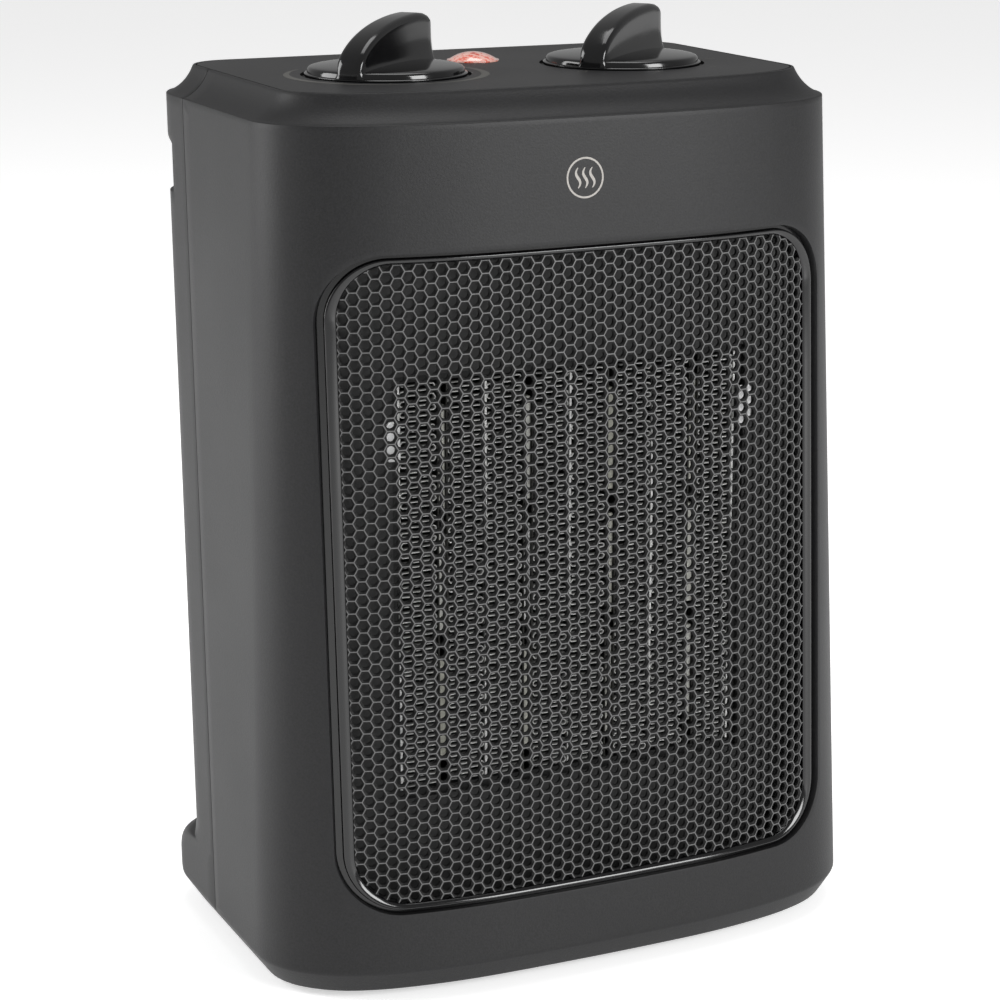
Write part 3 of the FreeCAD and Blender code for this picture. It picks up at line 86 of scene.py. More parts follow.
# ---------------------------------------------------------------------------- rear
GROOVE_DEPTH = 4.2
GROOVE_Z = (211.5, 212.6, 218.0, 227.5)
POCKET = (46.0, 211.5, 224.0, 17.0)    # half width, foot, head, depth
INTAKE_HALF = 52.0
INTAKE_COLUMNS = 4
INTAKE_RIB = 2.0
INTAKE_Z = 62.0
INTAKE_SLOTS = 17
INTAKE_PITCH = 6.0
INTAKE_OPEN = 3.0
BAR_PROUD = 12.5
BAR_Z = (2.5, 11.0, 16.0, 24.0)
BAR_CORNER_R = 17.0
SCREW_SEATS = [(x, z) for x in (-75.0, 75.0) for z in (36.0, 197.0)]
SCREW_SEAT_R = 3.1
GLAND = (58.0, 46.0)
GLAND_BOSS_R = 8.5

# ---------------------------------------------------------------------------- guard
SIDE_STRETCH = 1.4           # the bezel is wider at its sides than at its head and foot
LEVEL_STRETCH = 0.75
GUARD_RECESS = 1.7
GUARD_THICK = 1.4
GUARD_MARGIN = 2.2           # the guard runs this far in from the window's edge, under the bezel's lip
FUNNEL_DEPTH = 0.55
LATTICE_REACH = (90, 130, 120)   # how far the lattice is laid to the left, to the right and up and down
LATTICE_X = -24.89           # arc length from the middle to a column of holes
LATTICE_Z = 200.96

# ---------------------------------------------------------------------------- element
CENTRE_Z = 111.5
ELEMENT_HEIGHT = 115.0
MODULES = 4
MODULE_PITCH = 25.6
STONE_GAP = 7.0
STONE_HALF = 1.1             # half of a stone's thickness
STRIP_THICK = 0.45
FIN_CLEARANCE = 0.3
STONES_PER_STRIP = 3

# ---------------------------------------------------------------------------- controls
KNOB_X = 36.3
KNOB_Y = 1.5
KNOB_R = 22.5
POINTER_ANGLE = math.radians(220.0)
GRIP_HEIGHT = 13.4
LENS_Y = 24.0
LENS_R = 7.5

# ---------------------------------------------------------------------------- stage
# Lights: name, place, size and power, in metres and watts.
LIGHTS = (
    ("key_left", (-1.3, 0.55, 0.6), (0.8, 1.1), 18.0),
    ("top", (0.2, 0.2, 1.5), (0.8, 0.8), 6.0),
    ("front_right", (0.7, -1.5, 0.75), (0.7, 0.9), 26.0),
)
FLOOR_REACH = 6000.0
ROOM = 0.35                  # brightness of the room on the heater, as a share of the backdrop's
CAMERA_LENS = 97.87
CAMERA_AZIMUTH = 24.87
CAMERA_ELEVATION = 15.01
CAMERA_PLACE = (-0.3232, -0.6917, 0.3263)
STAGE_MIDDLE = (0.0, 0.0, 0.131)     # the lights point here, in metres


def linear(hex_colour):
    """An sRGB hex value as the linear colour that a shader takes."""
    channels = [int(hex_colour[i:i + 2], 16) / 255 for i in (1, 3, 5)]
    return tuple(c / 12.92 if c <= 0.04045 else ((c + 0.055) / 1.055) ** 2.4 for c in channels)


# ============================================================================ settings
class HeaterCasing(bpy.types.PropertyGroup):
    """Sizes and colour of the moulded casing."""

    edge: FloatProperty(name="Edge radius", description="Rounding of the shells' cut edges, in millimetres",
                        default=0.35, min=0.05, max=0.8)
    colour: FloatVectorProperty(name="ABS colour", description="Colour of the textured charcoal ABS",
                                subtype="COLOR", size=3, min=0, max=1, default=linear("#19191a"))
    grain: FloatProperty(name="Grain", description="Size of the moulding's spark texture, in millimetres",
                         default=0.55, min=0.1, max=3.0)


class HeaterGuard(bpy.types.PropertyGroup):
    """Sizes and colours of the honeycomb guard."""

    pitch: FloatProperty(name="Cell pitch", description="Distance between a column's cells, in millimetres",
                         default=3.5, min=2.5, max=8.0)
    hole: FloatProperty(name="Hole share", description="Diameter of a round hole as a share of the pitch",
                        subtype="FACTOR", default=0.7, min=0.4, max=0.86)
    ridge: FloatProperty(name="Ridge width", description="Width of the ridges with painted highlight, in millimetres",
                         default=0.3, min=0.05, max=0.8)
    # The ridge colour is a painted highlight: the grey stands for the light that the ridge tops catch on the
    # guard's black paint.
    ridge_colour: FloatVectorProperty(name="Ridge colour", description="Colour of the ridges",
                                      subtype="COLOR", size=3, min=0, max=1, default=linear("#555555"))


class HeaterElement(bpy.types.PropertyGroup):
    """Sizes of the folded fins."""

    fold: FloatProperty(name="Fold pitch", description="Height of one fold of the fins, in millimetres",
                        default=1.4, min=0.8, max=4.0)
    foil: FloatProperty(name="Foil", description="Thickness of the fins' foil, in millimetres",
                        default=0.27, min=0.05, max=0.4)
    seed: IntProperty(name="Seed", description="Start of the draws that make the folds uneven", default=7)


class HeaterControls(bpy.types.PropertyGroup):
    """Sizes of the knobs and the lens."""

    grip: FloatProperty(name="Grip width", description="Width of a knob's grip, in millimetres",
                        default=8.4, min=4.0, max=12.0)
    dome: FloatProperty(name="Disc crown", description="How far a knob's disc is crowned, in millimetres",
                        default=1.5, min=0.0, max=3.0)
    lens_dome: FloatProperty(name="Lens dome", description="Height of the indicator's dome, in millimetres",
                             default=2.6, min=0.5, max=5.0)


# ============================================================================ meshes
def grid_faces(rows, columns, around=False, along=False):
    """Quads over a grid of points stored row by row. around joins the last column to the first, and
    along the last row to the first."""
    i = np.arange(rows if along else rows - 1)[:, None]
    j = np.arange(columns if around else columns - 1)[None, :]
    i1, j1 = (i + 1) % rows, (j + 1) % columns
    quads = np.stack([i * columns + j, i * columns + j1, i1 * columns + j1, i1 * columns + j], axis=-1)
    return quads.reshape(-1, 4)


def new_piece(name, points, faces, materials, body="casing", merge=0.0, smooth=True, face_materials=None):
    """A mesh object from points in millimetres, with its place in its mesh."""
    mesh = bpy.data.meshes.new(name)
    mesh.from_pydata((np.asarray(points, float) * MM).tolist(), [], [list(f) for f in faces])
    for material in materials:
        mesh.materials.append(material)
    if face_materials is not None:
        mesh.polygons.foreach_set("material_index", np.asarray(face_materials, np.int32))
    if merge:
        working = bmesh.new()
        working.from_mesh(mesh)
        bmesh.ops.remove_doubles(working, verts=working.verts, dist=merge * MM)
        bmesh.ops.dissolve_degenerate(working, edges=working.edges, dist=merge * MM)
        working.to_mesh(mesh)
        working.free()
    mesh.validate()
    mesh.polygons.foreach_set("use_smooth", np.full(len(mesh.polygons), smooth))
    piece = bpy.data.objects.new(name, mesh)
    bpy.context.scene.collection.objects.link(piece)
    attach(piece, body)
    return piece


def sharp_edges(piece, degrees):
    """Shading breaks where two faces meet at more than this angle."""
    working = bmesh.new()
    working.from_mesh(piece.data)
    for edge in working.edges:
        edge.smooth = len(edge.link_faces) != 2 or edge.calc_face_angle(0.0) < math.radians(degrees)
    working.to_mesh(piece.data)
    working.free()


def solidify(piece, thickness, offset=-1.0):
    modifier = piece.modifiers.new("Wall", "SOLIDIFY")
    modifier.thickness = thickness * MM
    modifier.offset = offset
    modifier.use_quality_normals = True


def bevel(piece, width, degrees=40.0, segments=2):
    modifier = piece.modifiers.new("Edges", "BEVEL")
    modifier.width = width * MM
    modifier.segments = segments
    modifier.limit_method = "ANGLE"
    modifier.angle_limit = math.radians(degrees)
    modifier.harden_normals = False


def settle(piece):
    """The modifiers' result becomes the piece's own mesh."""
    bpy.context.view_layer.update()
    graph = bpy.context.evaluated_depsgraph_get()
    mesh = bpy.data.meshes.new_from_object(piece.evaluated_get(graph))
    piece.modifiers.clear()
    piece.data = mesh


def lathe(profile, centre, turns=96, axis="z"):
    """Points of a profile of (radius, height) turned about an upright axis, or about Y."""
    profile = np.asarray(profile, float)
    angle = np.linspace(0, 2 * np.pi, turns, endpoint=False)
    r, h = profile[:, 0][:, None], profile[:, 1][:, None]
    a, b = r * np.cos(angle), r * np.sin(angle)
    h = h + 0 * angle
    points = np.stack([a, b, h], -1) if axis == "z" else np.stack([a, -h, b], -1)
    return points.reshape(-1, 3) + np.asarray(centre)


def joined(parts):
    """Several (points, faces) as one."""
    points, faces, base = [], [], 0
    for some_points, some_faces in parts:
        points.append(np.asarray(some_points, float))
        faces += [[int(i) + base for i in face] for face in some_faces]
        base += len(some_points)
    return np.vstack(points), faces


# ============================================================================ casing surface
def share(z):
    return (z - WALL_BOTTOM) / (WALL_TOP - WALL_BOTTOM)


def half_width(z):
    return HALF_WIDTH_BASE + (HALF_WIDTH_TOP - HALF_WIDTH_BASE) * share(z)


def front_y(z):
    return -OVERALL_DEPTH / 2 + FRONT_LEAN * share(z)


def rear_y(z):
    return OVERALL_DEPTH / 2 - REAR_LEAN * (1 - share(z))


def unit_arcs():
    """The front's tangent arcs for a half width of 1: turns, radii, centres and where each ends in x."""
    turns = np.radians(TURNS)
    radii = np.array(SPANS) / np.diff(np.sin(turns))
    x, y, centre_x, centre_y = 0.0, 0.0, [], []
    for i, radius in enumerate(radii):
        centre_x.append(x - radius * math.sin(turns[i]))
        centre_y.append(y + radius * math.cos(turns[i]))
        x = centre_x[-1] + radius * math.sin(turns[i + 1])
        y = centre_y[-1] - radius * math.cos(turns[i + 1])
    return turns, radii, np.array(centre_x), np.array(centre_y), np.cumsum(SPANS)


ARC_TURNS, ARC_RADII, ARC_X, ARC_Y, ARC_ENDS = unit_arcs()


def place_on_arcs(x, z):
    """The station q of the front at x: whole numbers are the joints of the arcs, and a fraction is the
    share of an arc's turn."""
    half = half_width(z)
    side = np.abs(x) / half
    i = np.clip(np.searchsorted(ARC_ENDS, side), 0, len(SPANS) - 1)
    turn = np.arcsin(np.clip((side - ARC_X[i]) / ARC_RADII[i], -1, 1))
    return np.sign(x) * (i + (turn - ARC_TURNS[i]) / (ARC_TURNS[i + 1] - ARC_TURNS[i]))


def front_surface(q, z, inset):
    """A point of the front shell: q from 0 to 5 runs over the five tangent arcs and from 5 to 6 along the
    straight side to the seam; the point then moves inwards along the normal by inset."""
    q, z, inset = np.broadcast_arrays(np.asarray(q, float), np.asarray(z, float), np.asarray(inset, float))
    half, side, station = half_width(z), np.where(q < 0, -1.0, 1.0), np.abs(q)
    i = np.clip(station.astype(int), 0, len(SPANS) - 1)
    turn = ARC_TURNS[i] + np.clip(station - i, 0, 1) * (ARC_TURNS[i + 1] - ARC_TURNS[i])
    x = (ARC_X[i] + ARC_RADII[i] * np.sin(turn)) * half
    y = front_y(z) + (ARC_Y[i] - ARC_RADII[i] * np.cos(turn)) * half
    seam = rear_y(z) - SEAM_FROM_REAR - SEAM_GAP / 2
    y = y + np.clip(station - len(SPANS), 0, 1) * (seam - y)
    x = x - inset * np.sin(turn)
    y = y + inset * np.cos(turn)
    return np.stack([side * x, y, z], -1)


def on_front(x, z, inset):
    """A point of the front surface straight behind (x, z), moved inwards by inset."""
    return front_surface(place_on_arcs(x, z), z, inset)


def rounded_loop(half, low, high, radius, per_corner=10, per_side=60):
    """Points round a rectangle with round corners, from the middle of its lower left corner
    anticlockwise; each side has as many points as the others."""
    corners = ((-1, -1, 225), (1, -1, 315), (1, 1, 45), (-1, 1, 135))
    loop = []
    for k, (sx, sz, middle) in enumerate(corners):
        ex, ez, _ = corners[(k + 1) % 4]
        start = np.array([sx * (half - radius), low + radius if sz < 0 else high - radius])
        end = np.array([ex * (half - radius), low + radius if ez < 0 else high - radius])
        first = np.radians(middle + np.linspace(0, 45, per_corner + 1))
        last = np.radians(middle + np.linspace(45, 90, per_corner + 1))
        leaving = start + radius * np.stack([np.cos(first), np.sin(first)], -1)
        arriving = end + radius * np.stack([np.cos(last), np.sin(last)], -1)
        t = np.linspace(0, 1, per_side + 2)[1:-1, None]
        loop += [leaving, leaving[-1] + t * (arriving[0] - leaving[-1]), arriving[:-1]]
    return np.vstack(loop)


def cove_profile():
    """(inset, z) up the cove and over the rim: a concave arc through three points, then a small round."""
    a, b, c = (0.0, WALL_TOP), (COVE[0], WALL_TOP + COVE[1]), (RIM_INSET, RIM_Z)
    ax, ay, bx, by, cx, cy = *a, *b, *c
    d = 2 * (ax * (by - cy) + bx * (cy - ay) + cx * (ay - by))
    ux = ((ax**2 + ay**2) * (by - cy) + (bx**2 + by**2) * (cy - ay) + (cx**2 + cy**2) * (ay - by)) / d
    uy = ((ax**2 + ay**2) * (cx - bx) + (bx**2 + by**2) * (ax - cx) + (cx**2 + cy**2) * (bx - ax)) / d
    radius = math.hypot(ax - ux, ay - uy)
    t0, t1 = math.atan2(ay - uy, ax - ux), math.atan2(cy - uy, cx - ux)
    if t1 - t0 > math.pi:
        t1 -= 2 * math.pi
    if t0 - t1 > math.pi:
        t1 += 2 * math.pi
    t = np.linspace(t0, t1, 13)
    arc = np.stack([ux + radius * np.cos(t), uy + radius * np.sin(t)], -1)
    lip = np.array([(0.05, WALL_TOP + 0.12), (0.3, WALL_TOP + 0.32)])
    crown = np.array([(RIM_INSET + 0.03, RIM_Z - 0.12), (RIM_INSET + 0.2, RIM_Z),
                      (RIM_INSET + RIM_WIDTH, RIM_Z)])
    return np.vstack([lip, arc[1:-1], crown])


def base_profile():
    """(inset, z) down the base chamfer, with small rounds at both ends, and a little way under."""
    return np.array([(0.05, WALL_BOTTOM - 0.5), (0.25, WALL_BOTTOM - 1.0), (3.75, BASE_Z + 0.75),
                     (4.05, BASE_Z + 0.3), (4.5, BASE_Z), (6.0, BASE_Z)])


# ============================================================================ shells
def front_shell(casing, material):
    """The front shell is a ring of quads in (q, z) between the window and the edge of the wall; strips
    with the same columns carry it over the cove and under the base chamfer."""
    inner = rounded_loop(*WINDOW)
    per_side = len(inner) // 4
    q_in, z_in = place_on_arcs(inner[:, 0], inner[:, 1]), inner[:, 1]
    reach = len(SPANS) + 1.0
    t = np.linspace(0, 1, per_side, endpoint=False)
    across = -reach + 2 * reach * t
    up = WALL_BOTTOM + (WALL_TOP - WALL_BOTTOM) * t
    q_out = np.concatenate([across, np.full(per_side, reach), -across, np.full(per_side, -reach)])
    z_out = np.concatenate([np.full(per_side, WALL_BOTTOM), up, np.full(per_side, WALL_TOP),
                            WALL_TOP + WALL_BOTTOM - up])
    w = np.linspace(0, 1, 27)[:, None]
    ring = front_surface(q_in + (q_out - q_in) * w, z_in + (z_out - z_in) * w, 0.0)
    parts = [(ring.reshape(-1, 3), grid_faces(len(w), len(q_in), around=True)[:, ::-1])]
    columns = np.append(across, reach)
    for profile, wall_z, flip in ((cove_profile(), WALL_TOP, -1), (base_profile(), WALL_BOTTOM, 1)):
        rows = np.vstack([[(0.0, wall_z)], profile])
        strip = front_surface(columns[None, :], rows[:, 1:2], rows[:, :1])
        faces = grid_faces(len(rows), len(columns))
        parts.append((strip.reshape(-1, 3), faces[:, ::-1] if flip > 0 else faces))
    points, faces = joined(parts)
    piece = new_piece("front_shell", points, faces, [material], merge=0.01)
    solidify(piece, WALL)
    bevel(piece, casing.edge, 50.0)
    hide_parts("front_housing")
    return piece


def smooth_step(t):
    t = np.clip(t, 0, 1)
    return t * t * (3 - 2 * t)


def bar_share(z):
    """How much of its full depth the foot bar has at height z: it swells out of the wall like a rounded
    shoulder, stays full, and tucks in below."""
    above = np.sqrt(np.clip(1 - ((z - BAR_Z[2]) / (BAR_Z[3] - BAR_Z[2])) ** 2, 0, 1))
    below = 1 - 0.3 * smooth_step((BAR_Z[1] - z) / (BAR_Z[1] - BAR_Z[0]))
    return np.where(z > BAR_Z[3], 0.0, np.where(z > BAR_Z[2], above, below))


def groove_share(z):
    """Depth of the groove: a sharp lower lip, a flat floor and a long soft shoulder above."""
    low, floor, shoulder, top = GROOVE_Z
    rise = smooth_step((z - low) / (floor - low))
    fall = 1 - smooth_step((z - shoulder) / (top - shoulder))
    return np.minimum(rise, fall)


def rear_columns():
    """Columns of the rear shell from the middle to one seam: a fixed x behind the intake, then shares of
    the way to the corner, turns of the corner and shares of the straight side."""
    ribs = []
    width = 2 * INTAKE_HALF / INTAKE_COLUMNS
    for i in range(INTAKE_COLUMNS + 1):
        x = i * width - INTAKE_HALF
        ribs += [x - INTAKE_RIB / 2, x + INTAKE_RIB / 2]
    fixed = [x for x in ribs if abs(x) <= INTAKE_HALF] + [-INTAKE_HALF, INTAKE_HALF]
    for sign in (-1, 1):
        fixed += [sign * (POCKET[0] + d) for d in (1.2, 0.6, 0.15, -0.2)]
    fixed += list(np.linspace(-FLAT_HALF, FLAT_HALF, 30))
    fixed = np.unique(np.round(fixed, 2))
    straight = [("x", x) for x in fixed[np.concatenate([[True], np.diff(fixed) > 0.12])]]
    right = [("way", f) for f in (0.35, 0.7, 1.0)] + [("turn", a) for a in np.linspace(0, 90, 17)[1:]]
    right += [("side", f) for f in (0.25, 0.5, 0.75, 1.0)]
    return right[::-1], straight, right


def rear_surface(kind, value, sign, z, inset):
    """A column of the rear shell at heights z. The rear stands proud where the foot bar is, and its
    corner tightens there; the groove moves the rear and the corner inwards."""
    bar = bar_share(z)
    half = half_width(z)
    corner = CORNER_R + (BAR_CORNER_R - CORNER_R) * bar
    rear = rear_y(z) + BAR_PROUD * bar
    seam = rear_y(z) - SEAM_FROM_REAR + SEAM_GAP / 2
    groove = GROOVE_DEPTH * groove_share(z)
    if kind in ("x", "way"):
        x = value + 0 * z if kind == "x" else FLAT_HALF + (half - corner - FLAT_HALF) * value
        y = rear - inset - groove
        if kind == "x":
            half_pocket, low, high, depth = POCKET
            floor = rear_y(high) - depth
            side_open = smooth_step((half_pocket + 0.6 - abs(value)) / 0.8)
            open_z = np.minimum(smooth_step((z - low) / 0.5), smooth_step((high + 0.5 - z) / 0.5))
            y = y + (floor - y) * side_open * open_z
        return np.stack([x if kind == "x" else sign * x, y, z], -1)
    if kind == "turn":
        turn = math.radians(90 - value)
        fade = smooth_step(math.degrees(turn) / 9.0)
        reach = corner - inset - groove * fade
        x = half - corner + reach * math.cos(turn)
        y = rear - corner + reach * math.sin(turn)
        return np.stack([sign * x, y, z], -1)
    y0 = rear - corner
    return np.stack([sign * (half - inset), y0 + (seam - y0) * value, z], -1)


def rear_shell(casing, material):
    """The rear shell is a grid of columns round the back and rows up it, with the intake's cells left
    out. Round tools for the screw seats and the gland's hole are taken from it, but they leave no hole in
    the wall: the seats and the hole are missing from the result."""
    left, straight, right = rear_columns()
    feet = [INTAKE_Z + i * INTAKE_PITCH for i in range(INTAKE_SLOTS)]
    slots = [(foot, foot + INTAKE_OPEN) for foot in feet]
    rows = list(np.linspace(WALL_BOTTOM, BAR_Z[1], 4)) + list(np.linspace(BAR_Z[1], BAR_Z[2], 4))
    rows += list(BAR_Z[2] + (BAR_Z[3] - BAR_Z[2]) * np.sin(np.linspace(0, np.pi / 2, 12)))
    rows += list(np.linspace(BAR_Z[3], INTAKE_Z, 9)) + [z for pair in slots for z in pair]
    rows += list(np.linspace(slots[-1][1], POCKET[1], 14)) + [POCKET[1] + d for d in (0.25, 0.5)]
    rows += list(np.linspace(GROOVE_Z[1], GROOVE_Z[3], 16)) + [POCKET[2], POCKET[2] + 0.25, POCKET[2] + 0.5]
    rows += list(np.linspace(GROOVE_Z[3], WALL_TOP, 5))
    rows = np.unique(np.round(rows, 3))
    rows = rows[np.concatenate([[True], np.diff(rows) > 0.1])]
    base, cove = base_profile()[::-1], cove_profile()
    z = np.concatenate([base[:, 1], rows, cove[:, 1]])
    inset = np.concatenate([base[:, 0], 0 * rows, cove[:, 0]])
    order = [(kind, value, -1) for kind, value in left]
    order += [(kind, value, 1) for kind, value in straight + right]
    points = np.stack([rear_surface(kind, value, sign, z, inset) for kind, value, sign in order], 1)
    faces = grid_faces(len(z), len(order))
    middle = points.reshape(-1, 3)[faces].mean(1)
    width = 2 * INTAKE_HALF / INTAKE_COLUMNS
    in_column = np.abs((middle[:, 0] + INTAKE_HALF) % width - width / 2) < width / 2 - INTAKE_RIB / 2
    opened = np.zeros(len(faces), bool)
    for low, high in slots:
        opened |= (middle[:, 2] > low) & (middle[:, 2] < high)
    opened &= in_column & (np.abs(middle[:, 0]) < INTAKE_HALF)
    piece = new_piece("rear_shell", points.reshape(-1, 3), faces[~opened][:, ::-1], [material], merge=0.005)
    solidify(piece, WALL)
    settle(piece)
    tools = [(x, z, rear_y(z) - SEAM_FROM_REAR + 4.0, OVERALL_DEPTH, SCREW_SEAT_R) for x, z in SCREW_SEATS]
    tools.append((*GLAND, 0.0, OVERALL_DEPTH, GLAND_BOSS_R - WALL))
    cutters = []
    for x, height, y0, y1, radius in tools:
        tube = lathe([(0, -y0), (radius, -y0), (radius, -y1), (0, -y1)], (x, 0, height), 40, "y")
        cutters.append((tube, grid_faces(4, 40, around=True)))
    cutter = new_piece("seat_cutter", *joined(cutters), [material], merge=0.001)
    modifier = piece.modifiers.new("Seats", "BOOLEAN")
    modifier.operation = "DIFFERENCE"
    modifier.solver = "EXACT"
    modifier.object = cutter
    settle(piece)
    bpy.data.objects.remove(cutter)
    piece.data.polygons.foreach_set("use_smooth", np.full(len(piece.data.polygons), True))
    bevel(piece, casing.edge * 0.8, 55.0)
    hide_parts("rear_housing")
    boss = [(GLAND_BOSS_R - WALL, 4.0), (GLAND_BOSS_R - WALL, -1.5), (GLAND_BOSS_R - 0.4, -1.5),
            (GLAND_BOSS_R, -1.1), (GLAND_BOSS_R, 4.0)]
    ring = lathe(boss, (GLAND[0], rear_y(GLAND[1]), GLAND[1]), 64, "y")
    collar = new_piece("gland_boss", ring, grid_faces(5, 64, around=True, along=True)[:, ::-1], [material])
    sharp_edges(collar, 40)
    return piece


# ============================================================================ bezel and guard
def bezel_frame(material):
    """The bezel is one closed profile, (distance in from the window's edge, depth under the wall),
    carried round the window; its front is a crest that slopes in to the guard."""
    profile = [(-1.2, 4.4), (-1.2, 2.65), (0.15, 2.65), (0.15, 2.0), (1.3, 2.0), (1.42, 1.2), (1.6, 0.75),
               (1.85, 0.55), (2.15, 0.5), (2.8, 0.8), (3.3, 1.2), (3.55, 1.5), (3.6, 2.0), (3.6, 4.4)]
    half, low, high, radius = WINDOW
    rows = []
    for inward, depth in profile:
        side, level = inward * SIDE_STRETCH, inward * LEVEL_STRETCH
        loop = rounded_loop(half - side, low + level, high - level, radius - inward)
        rows.append(on_front(loop[:, 0], loop[:, 1], depth))
    points = np.stack(rows)
    faces = grid_faces(len(profile), points.shape[1], around=True, along=True)
    piece = new_piece("bezel_frame", points.reshape(-1, 3), faces[:, ::-1], [material])
    sharp_edges(piece, 50)
    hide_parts("grille_bezel")
    return piece


def arc_length_table():
    """Arc length along the guard's middle section against x."""
    x = np.linspace(0, WINDOW[0], 600)
    line = on_front(x, np.full(len(x), CENTRE_Z), GUARD_RECESS)
    steps = np.hypot(np.diff(line[:, 0]), np.diff(line[:, 1]))
    return np.concatenate([[0], np.cumsum(steps)]), line[:, 0]


def clamp_to_window(x, z, margin):
    """Points outside the rounded rectangle move to its edge."""
    half, low, high, radius = WINDOW
    half, low, high, radius = half - margin, low + margin, high - margin, radius - margin
    cx = np.clip(x, radius - half, half - radius)
    cz = np.clip(z, low + radius, high - radius)
    dx, dz = x - cx, z - cz
    distance = np.hypot(dx, dz)
    scale = np.where(distance > radius, radius / np.maximum(distance, 1e-9), 1.0)
    return cx + dx * scale, cz + dz * scale, distance - radius


def honeycomb_guard(guard, ridge_highlight_material, wall_material):
    """Each cell is a hexagon with flat top and bottom: its ridge, a funnel down to a round hole, the
    hole's wall, and the back. The cells stand in columns along the curved guard."""
    pitch, hole, ridge = guard.pitch, guard.pitch * guard.hole / 2, guard.ridge / 2
    lean = math.cos(math.atan2(FRONT_LEAN, WALL_TOP - WALL_BOTTOM))
    lengths, xs = arc_length_table()
    step = pitch * math.sqrt(3) / 2
    left, right, level = LATTICE_REACH
    i, j = np.meshgrid(np.arange(-int(left / step), int(right / step)), np.arange(-level, level))
    u = LATTICE_X + step * i.ravel()
    z = LATTICE_Z - (j.ravel() + (i.ravel() % 2) / 2) * pitch * lean
    in_reach = np.abs(u) < lengths[-1] + pitch
    u, z = u[in_reach], z[in_reach]
    x = np.sign(u) * np.interp(np.abs(u), lengths, xs)
    _, _, outside = clamp_to_window(x, z, GUARD_MARGIN)
    kept = outside < pitch * 0.3
    u, z = u[kept], z[kept]
    six, twelve = np.radians(np.arange(6) * 60), np.radians(np.arange(12) * 30)
    corner = pitch / math.sqrt(3)
    rings = [(six, corner, 0.0), (six, corner - ridge * 2 / math.sqrt(3), 0.0), (twelve, hole, FUNNEL_DEPTH),
             (twelve, hole, GUARD_THICK), (six, corner, GUARD_THICK)]
    blocks = []
    for angles, radius, depth in rings:
        du, dz = radius * np.cos(angles), radius * np.sin(angles)
        pu, pz = u[:, None] + du, z[:, None] + dz * lean
        px = np.sign(pu) * np.interp(np.abs(pu), lengths, xs)
        px, pz, _ = clamp_to_window(px, pz, GUARD_MARGIN)
        blocks.append(on_front(px, pz, GUARD_RECESS + depth))
    points = np.concatenate(blocks, axis=1)
    start = np.cumsum([0] + [len(r[0]) for r in rings])
    template, kinds = [], []
    for k in range(6):
        n = (k + 1) % 6
        a, b, c, d, e = start[:5]
        template += [(a + k, a + n, b + n, b + k), (b + k, b + n, c + 2 * k + 1, c + 2 * k),
                     (b + n, c + (2 * k + 2) % 12, c + 2 * k + 1),
                     (d + 2 * k, d + 2 * k + 1, e + n, e + k), (d + 2 * k + 1, d + (2 * k + 2) % 12, e + n)]
        # Kind 0 is the ridge top, which gets the grey painted highlight; kind 1 is the black-painted funnel,
        # wall and back.
        kinds += [0, 1, 1, 1, 1]
    for k in range(12):
        template.append((start[2] + k, start[2] + (k + 1) % 12, start[3] + (k + 1) % 12, start[3] + k))
        kinds.append(1)
    base = np.arange(len(u)) * start[-1]
    faces, materials = [], []
    for face, kind in zip(template, kinds):
        faces += (base[:, None] + np.array(face)[None, :]).tolist()
        materials += [kind] * len(u)
    piece = new_piece("honeycomb_guard", points.reshape(-1, 3), faces, [ridge_highlight_material, wall_material],
                      merge=0.02, smooth=False, face_materials=materials)
    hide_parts("front_grille")
    return piece


# ============================================================================ element
def module_centres():
    return (np.arange(MODULES) + 0.5 - MODULES / 2) * MODULE_PITCH


def folded_fins(element, material):
    """Each fin column is one foil folded to and fro: level legs joined by half-round turns, a little
    uneven, carried back through the element's depth."""
    low, high = (np.array(corner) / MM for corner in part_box("fin_packs"))
    inner, outer = STONE_HALF + STRIP_THICK, MODULE_PITCH / 2 - FIN_CLEARANCE
    legs = int((high[2] - low[2]) / element.fold)
    draw = np.random.default_rng(element.seed)
    parts = []
    turn = np.linspace(-np.pi / 2, np.pi / 2, 6)
    for centre in module_centres():
        for side in (-1, 1):
            x0, x1 = sorted((centre + side * inner, centre + side * outer))
            r = element.fold / 2 - element.foil / 2
            path_x, path_z = [], []
            for k in range(legs):
                z = low[2] + (k + 0.5) * element.fold + draw.normal(0, 0.07)
                tilt = draw.normal(0, 0.13)
                ends = (x0 + r + element.foil, x1 - r - element.foil)
                xa, xb = ends if k % 2 == 0 else ends[::-1]
                path_x += [xa, xb]
                path_z += [z - tilt, z + tilt]
                if k < legs - 1:
                    way = 1 if xb > xa else -1
                    path_x += list(xb + way * r * np.cos(turn[1:-1]))
                    path_z += list(z + element.fold / 2 + r * np.sin(turn[1:-1]))
            path = np.stack([np.array(path_x), np.zeros(len(path_x)), np.array(path_z)], -1)
            sheet = np.stack([path + [0, y, 0] for y in (low[1] + FIN_CLEARANCE, high[1] - FIN_CLEARANCE)])
            parts.append((sheet.reshape(-1, 3), grid_faces(2, len(path))))
    piece = new_piece("folded_fins", *joined(parts), [material])
    solidify(piece, element.foil, 0.0)
    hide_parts("fin_packs")
    return piece


